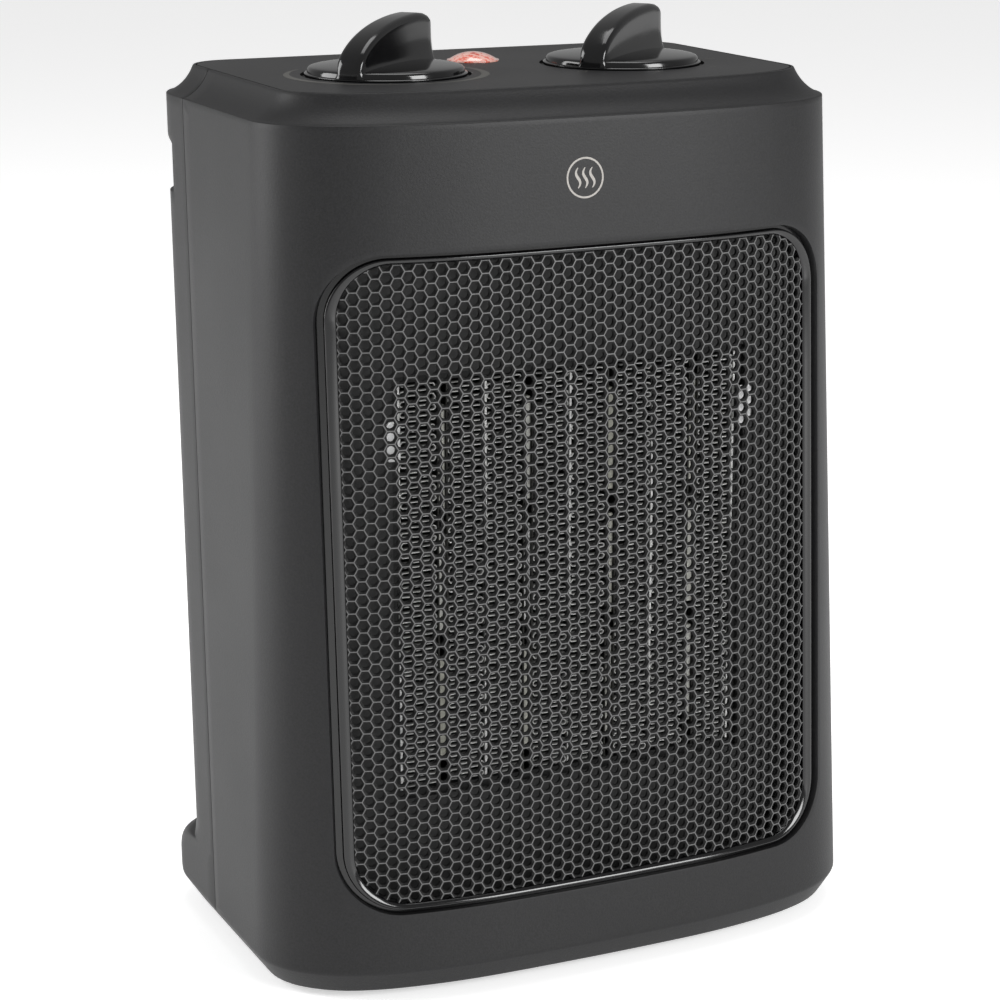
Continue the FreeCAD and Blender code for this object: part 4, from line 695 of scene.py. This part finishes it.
def heating_stones(material):
    """Twelve bevelled ceramic bars; an attribute gives each its own tone."""
    low, high = (np.array(corner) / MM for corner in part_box("ptc_stones"))
    height = (ELEMENT_HEIGHT - (STONES_PER_STRIP + 1) * STONE_GAP) / STONES_PER_STRIP
    corners = np.array([(x, y, z) for x in (-1, 1) for y in (0, 1) for z in (0, 1)], float)
    quads = [(0, 1, 3, 2), (4, 6, 7, 5), (0, 4, 5, 1), (2, 3, 7, 6), (0, 2, 6, 4), (1, 5, 7, 3)]
    parts, tones = [], []
    for strip, x in enumerate(module_centres()):
        for i in range(STONES_PER_STRIP):
            z0 = low[2] + i * (height + STONE_GAP)
            size = np.array([STONE_HALF, high[1] - low[1], height])
            parts.append((corners * size + [x, low[1], z0], quads))
            tones += [1.0 if (strip, i) == (1, 1) else 0.25 + 0.1 * ((strip * 5 + i * 3) % 4)] * len(corners)
    piece = new_piece("heating_stones", *joined(parts), [material], smooth=False)
    tone = piece.data.attributes.new("tone", "FLOAT", "POINT")
    tone.data.foreach_set("value", np.array(tones, np.float32))
    bevel(piece, 0.3)
    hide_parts("ptc_stones")
    return piece


def spring_clips(material):
    """Two plated tongues that reach over the edge of the element's opening, with a rounded outline, one each
    side."""
    low, high = (np.array(corner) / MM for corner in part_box("element_clips"))
    front = float(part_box("inner_baffle")[0][1]) / MM - 0.9
    inner = float(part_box("fin_plates")[1][0]) / MM + 0.1
    outline = np.array([(inner, low[2]), (inner + 3.3, low[2]), (inner + 4.0, low[2] + 0.7),
                        (inner + 4.0, high[2] - 0.7), (inner + 3.3, high[2]), (inner, high[2])])
    parts = []
    for side in (-1, 1):
        rings = [np.stack([side * outline[:, 0], np.full(len(outline), y), outline[:, 1]], -1)
                 for y in (front, front + 0.7)]
        count = len(outline)
        faces = grid_faces(2, count, around=True).tolist()
        faces += [list(range(count))[::-1], list(range(count, 2 * count))]
        parts.append((np.vstack(rings), [face[::-side] for face in faces]))
    piece = new_piece("spring_clips", *joined(parts), [material], smooth=False)
    bevel(piece, 0.2)
    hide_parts("element_clips")
    return piece


# ============================================================================ controls
def panel_top():
    return float(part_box("top_panel")[1][2]) / MM


def grip_loft(controls, z0, z1):
    """The grip is a row of upright sections along the pointer's line. A section rises from a flared foot
    up two nearly flat sides and closes over a rounded spine; the spine's height is a quarter ellipse
    from the rim to the crest, and then nearly level to a rounded rear end."""
    front, rear = KNOB_R - 0.5, 1.9 - KNOB_R
    crest = rear + 6.5
    half, base = controls.grip / 2, z0 + 0.4
    t = np.linspace(0.03, np.pi / 2, 26)
    u = np.concatenate([crest + (front - crest) * np.cos(t), [crest - 3.0, rear + 1.6, rear + 0.6,
                                                              rear + 0.15, rear]])
    drop = np.array([0.35, 0.95, 1.5, 2.3, 3.3])
    height = np.concatenate([GRIP_HEIGHT * np.sin(t), GRIP_HEIGHT - drop]) + z1 - base
    narrow = np.concatenate([np.zeros(len(t)), [0, 0, 0.15, 0.5, 1.1]])
    narrow[:6] += np.array([1.6, 1.0, 0.6, 0.35, 0.15, 0.05])
    side = np.linspace(0, 1, 12)
    over = np.linspace(0, np.pi / 2, 7)
    sections = []
    for k in range(len(u)):
        h, w = height[k], half - narrow[k]
        spine = min(1.7, h * 0.45)
        flare = 2.4 * np.clip(h / 8, 0, 1) * (1 - side) ** 4
        v = np.concatenate([w * (1 - 0.06 * side) + flare, w * 0.94 - spine + spine * np.cos(over[1:])])
        z = np.concatenate([(h - spine) * side, h - spine + spine * np.sin(over[1:])])
        v, z = np.concatenate([v, -v[::-1]]), np.concatenate([z, z[::-1]])
        sections.append(np.stack([np.full(len(v), u[k]), v, base + z], -1))
    points = np.stack(sections)
    rows, columns = points.shape[:2]
    faces = grid_faces(rows, columns, around=True).tolist()
    faces.append(list(range(columns)))
    faces.append([(rows - 1) * columns + i for i in range(columns)][::-1])
    return points.reshape(-1, 3), faces


def knob_moulding(name, node, body, x, controls, material):
    """A knob is a turned disc, with a lower step and a crowned top, and the lofted grip across it."""
    z0 = float(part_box(node)[0][2]) / MM
    z1 = z0 + 2.6
    r = KNOB_R
    crown = [(r - 1.15 - (r - 1.15) * (1 - math.cos(a)), z1 - 0.25 + controls.dome * math.sin(a))
             for a in np.linspace(0.12, math.pi / 2 - 0.06, 12)]
    profile = [(0.02, z0), (r - 0.5, z0), (r - 0.1, z0 + 0.15), (r, z0 + 0.4), (r - 0.05, z0 + 0.85),
               (r - 0.35, z0 + 1.05), (r - 0.8, z0 + 1.1), (r - 0.85, z0 + 1.5), (r - 0.95, z1 - 0.5),
               *crown, (0.02, z1 - 0.25 + controls.dome)]
    disc = lathe(profile, (0, 0, 0), 120)
    points, faces = joined([(disc, grid_faces(len(profile), 120, around=True)), grip_loft(controls, z0, z1)])
    c, s = math.cos(POINTER_ANGLE), math.sin(POINTER_ANGLE)
    turned = np.stack([points[:, 0] * c - points[:, 1] * s + x, points[:, 0] * s + points[:, 1] * c + KNOB_Y,
                       points[:, 2]], -1)
    piece = new_piece(name, turned, faces, [material], body=body, merge=0.03)
    working = bmesh.new()
    working.from_mesh(piece.data)
    bmesh.ops.recalc_face_normals(working, faces=working.faces)
    working.to_mesh(piece.data)
    working.free()
    sharp_edges(piece, 38)
    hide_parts(node)
    return piece


def signal_lens(controls, material):
    """The indicator is a shallow dome turned about its middle, with a small step where it meets the panel."""
    top = panel_top()
    sphere = (LENS_R**2 + controls.lens_dome**2) / (2 * controls.lens_dome)
    reach = math.asin((LENS_R - 0.4) / sphere)
    dome = [(sphere * math.sin(a), top + controls.lens_dome + sphere * (math.cos(a) - 1))
            for a in np.linspace(reach, 0.01, 14)]
    profile = [(0.02, top - 4.0), (LENS_R - 1.2, top - 4.0), (LENS_R - 1.2, top + 0.02),
               (LENS_R, top + 0.02), (LENS_R, top + 0.35), *dome]
    points = lathe(profile, (0, LENS_Y, 0), 72)
    faces = grid_faces(len(profile), 72, around=True)
    piece = new_piece("signal_lens", points, faces, [material], merge=0.05)
    sharp_edges(piece, 45)
    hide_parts("indicator_lens")
    return piece


def stroke(path, width, proud):
    """A flat printed stroke: a strip of the given width along a path of points on a surface, lifted by
    proud along each point's normal; path holds points, sideways directions and normals."""
    points, sideways, normals = path
    width = np.broadcast_to(width, len(points))[:, None] / 2
    lifted = points + normals * proud
    strip = np.stack([lifted - sideways * width, lifted + sideways * width])
    return strip.reshape(-1, 3), grid_faces(2, len(points))[:, ::-1]


def dial_marks(material):
    """Printing round the two knobs: a crescent whose width swells from one end to the other, ticks for
    the stops, and a ring, a bar and two bars for the mode knob's positions."""
    top, proud = panel_top(), 0.03
    up = np.array([0.0, 0.0, 1.0])

    def ring(cx, cy, radius, start, end, width, count=48):
        a = np.radians(np.linspace(start, end, count))
        out = np.stack([np.cos(a), np.sin(a), 0 * a], -1)
        centre = np.array([cx, cy, top])
        return stroke((centre + out * radius, out, np.tile(up, (count, 1))), width, proud)

    def tick(cx, cy, radius, angle, length, width):
        a = math.radians(angle)
        out = np.array([math.cos(a), math.sin(a), 0.0])
        across = np.array([-out[1], out[0], 0.0])
        middle = np.array([cx, cy, top]) + np.outer([radius, radius + length], out)
        return stroke((middle, np.tile(-across, (2, 1)), np.tile(up, (2, 1))), width, proud)

    swell = 0.4 + 1.9 * np.abs(np.sin(np.linspace(0.05, 2 * np.pi, 48)))
    parts = [ring(-KNOB_X, KNOB_Y, 27.3, -230, 40, swell)]
    parts += [tick(-KNOB_X, KNOB_Y, 24.6, a, 1.5, 0.4) for a in range(-230, 41, 30)]
    for angle, bars in ((220, 0), (265, 1), (310, 2), (355, 3)):
        parts.append(tick(KNOB_X, KNOB_Y, 24.4, angle, 1.4, 0.5))
        a = math.radians(angle)
        cx, cy = KNOB_X + 28.2 * math.cos(a), KNOB_Y + 28.2 * math.sin(a)
        if bars == 0:
            parts.append(ring(cx, cy, 1.2, 0, 360, 0.45, 25))
        for k in range(bars):
            parts.append(tick(cx + (k - (bars - 1) / 2) * 1.1, cy, 0.0, 90, 2.2, 0.5))
    piece = new_piece("dial_marks", *joined(parts), [material], smooth=False)
    return piece


def heat_emblem(material):
    """A plain pictogram on the front: three rising waves in a ring."""
    centre_x, centre_z, proud = -2.5, 222.8, 0.04

    def on_wall(x, z, width):
        points = on_front(x, z, 0.0)
        dx, dz = np.gradient(x), np.gradient(z)
        length = np.hypot(dx, dz)
        sx, sz = dz / length, -dx / length
        ahead = on_front(x + sx * 0.1, z + sz * 0.1, 0.0)
        sideways = (ahead - points) / 0.1
        normals = (points - on_front(x, z, 1.0))
        return stroke((points, sideways, normals), width, proud)

    parts = []
    t = np.linspace(0, 1, 33)
    for k in (-1, 0, 1):
        x = centre_x + 2.1 * k + 0.6 * np.sin(2 * np.pi * t)
        z = centre_z - 2.7 + 5.4 * t
        parts.append(on_wall(x, z, 0.25 + 0.55 * np.sin(np.pi * t)))
    a = np.linspace(0, 2 * np.pi, 73)
    parts.append(on_wall(centre_x + 5.2 * np.cos(a), centre_z + 5.2 * np.sin(a), 0.5))
    piece = new_piece("heat_emblem", *joined(parts), [material], smooth=False)
    return piece


# ============================================================================ materials
def add(tree, kind, inputs=None, **settings):
    """Adds a shader node with its settings; an input is a value or another node's output."""
    node = tree.nodes.new(kind)
    for name, value in settings.items():
        setattr(node, name, value)
    for name, value in (inputs or {}).items():
        socket = node.inputs[name]
        if isinstance(value, bpy.types.NodeSocket):
            tree.links.new(value, socket)
        else:
            socket.default_value = value
    return node


def finish(name, colour, roughness=0.5, metallic=0.0, ior=1.46, **sockets):
    """A material with one principled shader; returns it with its tree, shader and a mm coordinate."""
    material = bpy.data.materials.new(name)
    material.use_nodes = True
    tree = material.node_tree
    shader = tree.nodes["Principled BSDF"]
    shader.inputs["Base Color"].default_value = (*colour, 1.0)
    shader.inputs["Roughness"].default_value = roughness
    shader.inputs["Metallic"].default_value = metallic
    if not metallic:
        shader.inputs["IOR"].default_value = ior
    for socket, value in sockets.items():
        shader.inputs[socket.replace("_", " ")].default_value = value
    where = add(tree, "ShaderNodeTexCoord").outputs["Object"]
    return material, tree, shader, where


def noise(tree, where, size_mm, detail=3.0, roughness=0.55):
    """Noise whose lumps are about size_mm across."""
    return add(tree, "ShaderNodeTexNoise", {"Vector": where, "Scale": 1 / (size_mm * MM), "Detail": detail,
                                            "Roughness": roughness}).outputs["Fac"]


def ramp(tree, factor, stops):
    """A colour ramp: stops are (position, linear colour)."""
    node = add(tree, "ShaderNodeValToRGB", {"Fac": factor})
    elements = node.color_ramp.elements
    while len(elements) < len(stops):
        elements.new(0.5)
    for element, (position, colour) in zip(elements, stops):
        element.position = position
        element.color = (*colour, 1.0)
    return node.outputs["Color"]


def paint(tree, shader, factor, stops):
    """The shader's colour becomes a ramp over a factor."""
    tint = ramp(tree, factor, stops)
    tree.links.new(tint, shader.inputs["Base Color"])
    return tint


def bump(tree, shader, height, depth_mm, strength=1.0):
    node = add(tree, "ShaderNodeBump", {"Height": height, "Distance": depth_mm * MM, "Strength": strength})
    tree.links.new(node.outputs["Normal"], shader.inputs["Normal"])


def vary_roughness(tree, shader, factor, low, high):
    node = add(tree, "ShaderNodeMapRange", {"Value": factor, "To Min": low, "To Max": high})
    tree.links.new(node.outputs["Result"], shader.inputs["Roughness"])


def scaled(colour, amount):
    return tuple(min(c * amount, 1.0) for c in colour)


def spark_textured_abs(name, colour, grain):
    """ABS moulded in a spark-eroded tool: matte, with a fine even grain that scatters the light. The real
    grain is about 0.1 mm; it is drawn coarser so that it shows."""
    material, tree, shader, where = finish(name, colour, 0.5, 0.0, 1.53, Specular_IOR_Level=0.28)
    fine = noise(tree, where, grain, 4.0)
    broad = noise(tree, where, 60.0, 2.0)
    paint(tree, shader, fine, [(0.32, scaled(colour, 0.72)), (0.68, scaled(colour, 1.32))])
    vary_roughness(tree, shader, broad, 0.42, 0.55)
    bump(tree, shader, fine, 0.06, 0.9)
    return material


def polished_abs(name, colour, roughness):
    """ABS moulded in a polished tool: gloss black with a faint ripple and fine handling haze."""
    material, tree, shader, where = finish(name, colour, roughness, 0.0, 1.53)
    vary_roughness(tree, shader, noise(tree, where, 9.0, 5.0), roughness * 0.6, roughness * 1.5)
    bump(tree, shader, noise(tree, where, 14.0, 1.0), 0.05, 0.35)
    return material


def painted_steel(name, colour, roughness):
    """Steel under a thin baked paint: satin with a faint orange peel."""
    material, tree, shader, where = finish(name, colour, roughness, 0.0, 1.5)
    peel = noise(tree, where, 1.6, 2.0)
    paint(tree, shader, peel, [(0.3, scaled(colour, 0.85)), (0.7, scaled(colour, 1.12))])
    bump(tree, shader, peel, 0.03, 0.5)
    return material


def folded_foil(name, colour, painted_shade, front_y):
    """Bright foil with painted shade in its folds: the front edges keep the foil's own colour, and a few
    millimetres in, the colour falls almost to black, standing in for the shade inside the folds."""
    material, tree, shader, where = finish(name, colour, 0.4, 0.35)
    # Painted shade: the foil's colour fades to near black from 0.25 mm to 2.2 mm behind the fins' front edge.
    depth = add(tree, "ShaderNodeSeparateXYZ", {"Vector": where}).outputs["Y"]
    far = add(tree, "ShaderNodeMapRange", {"Value": depth, "From Min": (front_y + 0.25) * MM,
                                           "From Max": (front_y + 2.2) * MM}).outputs["Result"]
    paint(tree, shader, far, [(0.0, colour), (0.25, scaled(colour, 0.3)), (1.0, painted_shade)])
    vary_roughness(tree, shader, noise(tree, where, 1.5), 0.3, 0.5)
    return material


def rolled_metal(name, colour, roughness, line_mm=0.3):
    """Bare rolled metal: fine lines along the rolling way and patches of uneven shine."""
    material, tree, shader, where = finish(name, colour, roughness, 1.0)
    stretched = add(tree, "ShaderNodeMapping", {"Vector": where, "Scale": (0.06, 1.0, 1.0)})
    lines = noise(tree, stretched.outputs["Vector"], line_mm, 3.0)
    vary_roughness(tree, shader, lines, roughness * 0.7, roughness * 1.35)
    paint(tree, shader, noise(tree, where, 4.0, 3.0), [(0.3, scaled(colour, 0.86)), (0.7, colour)])
    bump(tree, shader, lines, 0.01, 0.3)
    return material


def fired_ceramic(name, low_colour, high_colour):
    """Pressed and fired PTC ceramic: dull and grainy, each stone with its own tone."""
    material, tree, shader, where = finish(name, low_colour, 0.62, 0.0, 1.6)
    tone = add(tree, "ShaderNodeAttribute", attribute_name="tone").outputs["Fac"]
    speck = noise(tree, where, 0.5, 4.0)
    faint = add(tree, "ShaderNodeMath", {0: speck, 1: 0.25}, operation="MULTIPLY")
    summed = add(tree, "ShaderNodeMath", {0: tone, 1: 0.85, 2: faint.outputs["Value"]},
                 operation="MULTIPLY_ADD")
    paint(tree, shader, summed.outputs["Value"], [(0.15, low_colour), (1.0, high_colour)])
    bump(tree, shader, speck, 0.04, 0.6)
    return material


def moulded_plastic(name, colour, roughness, grain=1.2, ior=1.5, **sockets):
    """A plain moulding: satin, with a slight mottle and soft unevenness."""
    material, tree, shader, where = finish(name, colour, roughness, 0.0, ior, **sockets)
    mottle = noise(tree, where, grain, 3.0)
    paint(tree, shader, mottle, [(0.3, scaled(colour, 0.88)), (0.7, scaled(colour, 1.08))])
    bump(tree, shader, mottle, 0.03, 0.4)
    return material


def wound_copper(name, colour):
    """Enamelled wire in tight turns: the turns show as fine ridges round the coil."""
    material, tree, shader, where = finish(name, colour, 0.3, 0.85)
    turns = add(tree, "ShaderNodeTexWave", {"Vector": where, "Scale": 1 / (0.5 * MM) / 6.3, "Distortion": 0.6,
                                            "Detail": 1.0}, wave_type="BANDS", bands_direction="X")
    paint(tree, shader, turns.outputs["Fac"], [(0.1, scaled(colour, 0.45)), (0.6, colour)])
    bump(tree, shader, turns.outputs["Fac"], 0.15, 0.8)
    return material


def stacked_steel(name, colour):
    """Stacked laminations: thin sheets seen edge on, as fine lines across the stack."""
    material, tree, shader, where = finish(name, colour, 0.42, 1.0)
    sheets = add(tree, "ShaderNodeTexWave",
                 {"Vector": where, "Scale": 1 / (0.6 * MM) / 6.3, "Distortion": 0.2}, wave_type="BANDS",
                 bands_direction="Y")
    paint(tree, shader, sheets.outputs["Fac"], [(0.05, scaled(colour, 0.4)), (0.4, colour)])
    bump(tree, shader, sheets.outputs["Fac"], 0.08, 0.7)
    return material


def neon_lens(name):
    """A frosted amber acrylic dome over a neon lamp: pale pink where it shines, with orange-red streaks
    of the ribs inside."""
    pale, warm, deep = linear("#d9a89c"), linear("#cf4a30"), linear("#7d1e12")
    material, tree, shader, where = finish(name, warm, 0.12, 0.0, 1.49)
    shader.inputs["Coat Weight"].default_value = 1.0
    shader.inputs["Coat Roughness"].default_value = 0.05
    shader.inputs["Emission Strength"].default_value = 0.1
    streaks = noise(tree, where, 3.2, 4.0, 0.65)
    tint = paint(tree, shader, streaks,
                 [(0.36, warm), (0.46, pale), (0.55, pale), (0.63, warm), (0.72, deep)])
    tree.links.new(tint, shader.inputs["Emission Color"])
    bump(tree, shader, streaks, 0.2, 0.5)
    return material


def lamp_glass(name):
    """Clear soda glass of a neon bulb."""
    material, tree, shader, where = finish(name, linear("#e9dccf"), 0.05, 0.0, 1.52)
    shader.inputs["Transmission Weight"].default_value = 0.8
    vary_roughness(tree, shader, noise(tree, where, 3.0), 0.03, 0.09)
    return material


def make_finishes(casing, guard):
    """Every finish of the heater, by the name of its material slot."""
    return {
        "charcoal_abs": spark_textured_abs("Spark-textured ABS", tuple(casing.colour), casing.grain),
        "gloss_black_abs": polished_abs("Polished black ABS", linear("#080809"), 0.12),
        "grille_steel": painted_steel("Black-painted guard steel", linear("#050505"), 0.65),
        # The ridges' grey is a painted highlight on the black guard paint.
        "ridge": painted_steel("Ridge paint with painted highlight", tuple(guard.ridge_colour), 0.42),
        "baffle_sheet": painted_steel("Grey-painted baffle steel", linear("#343434"), 0.6),
        "heatproof_moulding": moulded_plastic("Heat-proof PBT", linear("#141414"), 0.6, 1.5),
        "ptc_ceramic": fired_ceramic("Fired PTC ceramic", linear("#a3a38f"), linear("#ffffff")),
        # The near-black second colour is painted shade inside the fins' folds; the first is the foil's own
        # colour.
        "fin_aluminium": folded_foil("Folded aluminium foil", linear("#f2f2f0"), linear("#1a1a19"),
                                     float(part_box("fin_packs")[0][1]) / MM),
        "plated_steel": rolled_metal("Nickel-plated steel", linear("#cfd0d0"), 0.28),
        "bright_plate": moulded_plastic("Bright tin plate", linear("#ffffff"), 0.25, 3.0, Metallic=0.2),
        "dull_aluminium": rolled_metal("Dulled aluminium strip", linear("#4a4a48"), 0.6),
        "lamination_steel": stacked_steel("Lamination steel", linear("#6d6f72")),
        "copper": wound_copper("Enamelled copper wire", linear("#a85a32")),
        "bearing_bronze": rolled_metal("Sintered bronze", linear("#9a7440"), 0.5),
        "fan_nylon": moulded_plastic("Glass-filled nylon", linear("#1c1c1d"), 0.45, 0.8),
        "white_nylon": moulded_plastic("White nylon", linear("#dcdad2"), 0.4, 2.0, Subsurface_Weight=0.1),
        "phenolic": moulded_plastic("Phenolic moulding", linear("#3b2518"), 0.35, 0.9),
        "lens_amber": neon_lens("Amber acrylic lens"),
        "lamp_glass": lamp_glass("Neon lamp glass"),
        "rubber": moulded_plastic("Moulded rubber", linear("#171716"), 0.75, 0.7),
        "print": moulded_plastic("Grey pad print", linear("#454440"), 0.5, 0.6),
        "emblem": moulded_plastic("Light pad print", linear("#98948f"), 0.45, 0.6),
    }


FINISHES = {}
SPECIAL_FINISH = {"electrode_strips": "dull_aluminium", "element_screws": "baffle_sheet",
                  "baffle_screws": "baffle_sheet"}


def finishes():
    """The materials, made once."""
    if not FINISHES:
        scene = bpy.context.scene
        FINISHES.update(make_finishes(scene.heater_casing, scene.heater_guard))
    return FINISHES


# ============================================================================ operators
class HeaterShells(bpy.types.Operator):
    """Builds the two textured shells of the casing"""

    bl_idname = "heater.shells"
    bl_label = "Casing shells"

    def execute(self, context):
        front_shell(context.scene.heater_casing, finishes()["charcoal_abs"])
        rear_shell(context.scene.heater_casing, finishes()["charcoal_abs"])
        return {"FINISHED"}


class HeaterWindow(bpy.types.Operator):
    """Builds the gloss bezel and the honeycomb guard"""

    bl_idname = "heater.window"
    bl_label = "Bezel and guard"

    def execute(self, context):
        bezel_frame(finishes()["gloss_black_abs"])
        honeycomb_guard(context.scene.heater_guard, finishes()["ridge"], finishes()["grille_steel"])
        return {"FINISHED"}


class HeaterFins(bpy.types.Operator):
    """Builds the folded fins and the heating stones"""

    bl_idname = "heater.fins"
    bl_label = "Heating element"

    def execute(self, context):
        folded_fins(context.scene.heater_element, finishes()["fin_aluminium"])
        heating_stones(finishes()["ptc_ceramic"])
        spring_clips(finishes()["bright_plate"])
        return {"FINISHED"}


class HeaterKnobs(bpy.types.Operator):
    """Builds the two knobs and the indicator lens"""

    bl_idname = "heater.knobs"
    bl_label = "Knobs and lens"

    def execute(self, context):
        controls, gloss = context.scene.heater_controls, finishes()["gloss_black_abs"]
        knob_moulding("thermostat_grip", "thermostat_knob", "thermostat_dial", -KNOB_X, controls, gloss)
        knob_moulding("mode_grip", "mode_knob", "mode_dial", KNOB_X, controls, gloss)
        signal_lens(controls, finishes()["lens_amber"])
        return {"FINISHED"}


class HeaterMarks(bpy.types.Operator):
    """Prints the dial marks and the plain emblem"""

    bl_idname = "heater.marks"
    bl_label = "Printed marks"

    def execute(self, context):
        dial_marks(finishes()["print"])
        heat_emblem(finishes()["emblem"])
        return {"FINISHED"}


class HeaterFrameFinish(bpy.types.Operator):
    """Gives every CAD node that still shows the finish of its material slot"""

    bl_idname = "heater.frame_finish"
    bl_label = "Frame finishes"

    def execute(self, context):
        slots = {part["node"]: part["material_slot"] for part in frame["record"]["subparts"]}
        for name, node in frame["nodes"].items():
            if not node.material_slots:
                node.data.materials.append(None)
            for slot in node.material_slots:
                slot.material = finishes()[SPECIAL_FINISH.get(name, slots[name])]
        return {"FINISHED"}


class HeaterStage(bpy.types.Operator):
    """Sets up the pale floor, the soft studio light and the camera"""

    bl_idname = "heater.stage"
    bl_label = "Stage"

    def execute(self, context):
        scene = context.scene
        floor_finish, _, shader, _ = finish("Pale studio floor", linear("#f4f4f4"), 0.6)
        shader.inputs["Emission Color"].default_value = (1.0, 1.0, 1.0, 1.0)
        shader.inputs["Emission Strength"].default_value = 0.5
        corners = [(x * FLOOR_REACH, y * FLOOR_REACH, 0) for x, y in ((-1, -1), (1, -1), (1, 1), (-1, 1))]
        mesh = bpy.data.meshes.new("floor")
        mesh.from_pydata((np.array(corners) * MM).tolist(), [], [(0, 1, 2, 3)])
        mesh.materials.append(floor_finish)
        floor = bpy.data.objects.new("floor", mesh)
        scene.collection.objects.link(floor)
        world = bpy.data.worlds.new("Studio")
        world.use_nodes = True
        background = world.node_tree.nodes["Background"]
        background.inputs["Color"].default_value = (1.0, 1.0, 1.0, 1.0)
        seen = add(world.node_tree, "ShaderNodeLightPath").outputs["Is Camera Ray"]
        strength = add(world.node_tree, "ShaderNodeMapRange", {"Value": seen, "To Min": ROOM, "To Max": 1.0})
        world.node_tree.links.new(strength.outputs["Result"], background.inputs["Strength"])
        scene.view_settings.view_transform = "Standard"
        scene.world = world
        middle = Vector(STAGE_MIDDLE)
        for name, place, size, power in LIGHTS:
            lamp = bpy.data.lights.new(name, "AREA")
            lamp.shape = "RECTANGLE"
            lamp.size, lamp.size_y = size
            lamp.energy = power
            holder = bpy.data.objects.new(name, lamp)
            holder.location = place
            holder.rotation_euler = (middle - Vector(place)).to_track_quat("-Z", "Y").to_euler()
            scene.collection.objects.link(holder)
        lens = bpy.data.cameras.new("camera")
        lens.lens, lens.sensor_width = CAMERA_LENS, 36.0
        camera = bpy.data.objects.new("camera", lens)
        azimuth, elevation = math.radians(CAMERA_AZIMUTH), math.radians(CAMERA_ELEVATION)
        ahead = Vector((math.sin(azimuth) * math.cos(elevation), math.cos(azimuth) * math.cos(elevation),
                        -math.sin(elevation)))
        camera.location = CAMERA_PLACE
        camera.rotation_euler = ahead.to_track_quat("-Z", "Y").to_euler()
        scene.collection.objects.link(camera)
        scene.camera = camera
        return {"FINISHED"}


class HeaterPanel(bpy.types.Panel):
    """Lists the heater's sizes, colours and operators"""

    bl_idname = "VIEW3D_PT_heater"
    bl_label = "Ceramic heater"
    bl_space_type = "VIEW_3D"
    bl_region_type = "UI"
    bl_category = "Heater"

    def draw(self, context):
        for group in SETTINGS:
            settings = getattr(context.scene, group)
            box = self.layout.box()
            box.label(text=settings.bl_rna.name)
            for name in settings.__annotations__:
                box.prop(settings, name)
        for operator in OPERATORS:
            self.layout.operator(operator.bl_idname)


SETTINGS = {
    "heater_casing": HeaterCasing,
    "heater_guard": HeaterGuard,
    "heater_element": HeaterElement,
    "heater_controls": HeaterControls,
}
OPERATORS = (HeaterShells, HeaterWindow, HeaterFins, HeaterKnobs, HeaterMarks, HeaterFrameFinish, HeaterStage)


def register():
    for group in SETTINGS.values():
        bpy.utils.register_class(group)
    for name, group in SETTINGS.items():
        setattr(bpy.types.Scene, name, PointerProperty(type=group))
    for operator in OPERATORS:
        bpy.utils.register_class(operator)
    bpy.utils.register_class(HeaterPanel)


def unregister():
    bpy.utils.unregister_class(HeaterPanel)
    for operator in reversed(OPERATORS):
        bpy.utils.unregister_class(operator)
    for name in SETTINGS:
        delattr(bpy.types.Scene, name)
    for group in reversed(list(SETTINGS.values())):
        bpy.utils.unregister_class(group)


def main():
    register()
    bpy.ops.heater.shells()
    bpy.ops.heater.window()
    bpy.ops.heater.fins()
    bpy.ops.heater.knobs()
    bpy.ops.heater.marks()
    bpy.ops.heater.frame_finish()
    bpy.ops.heater.stage()


if __name__ == "__main__":
    main()
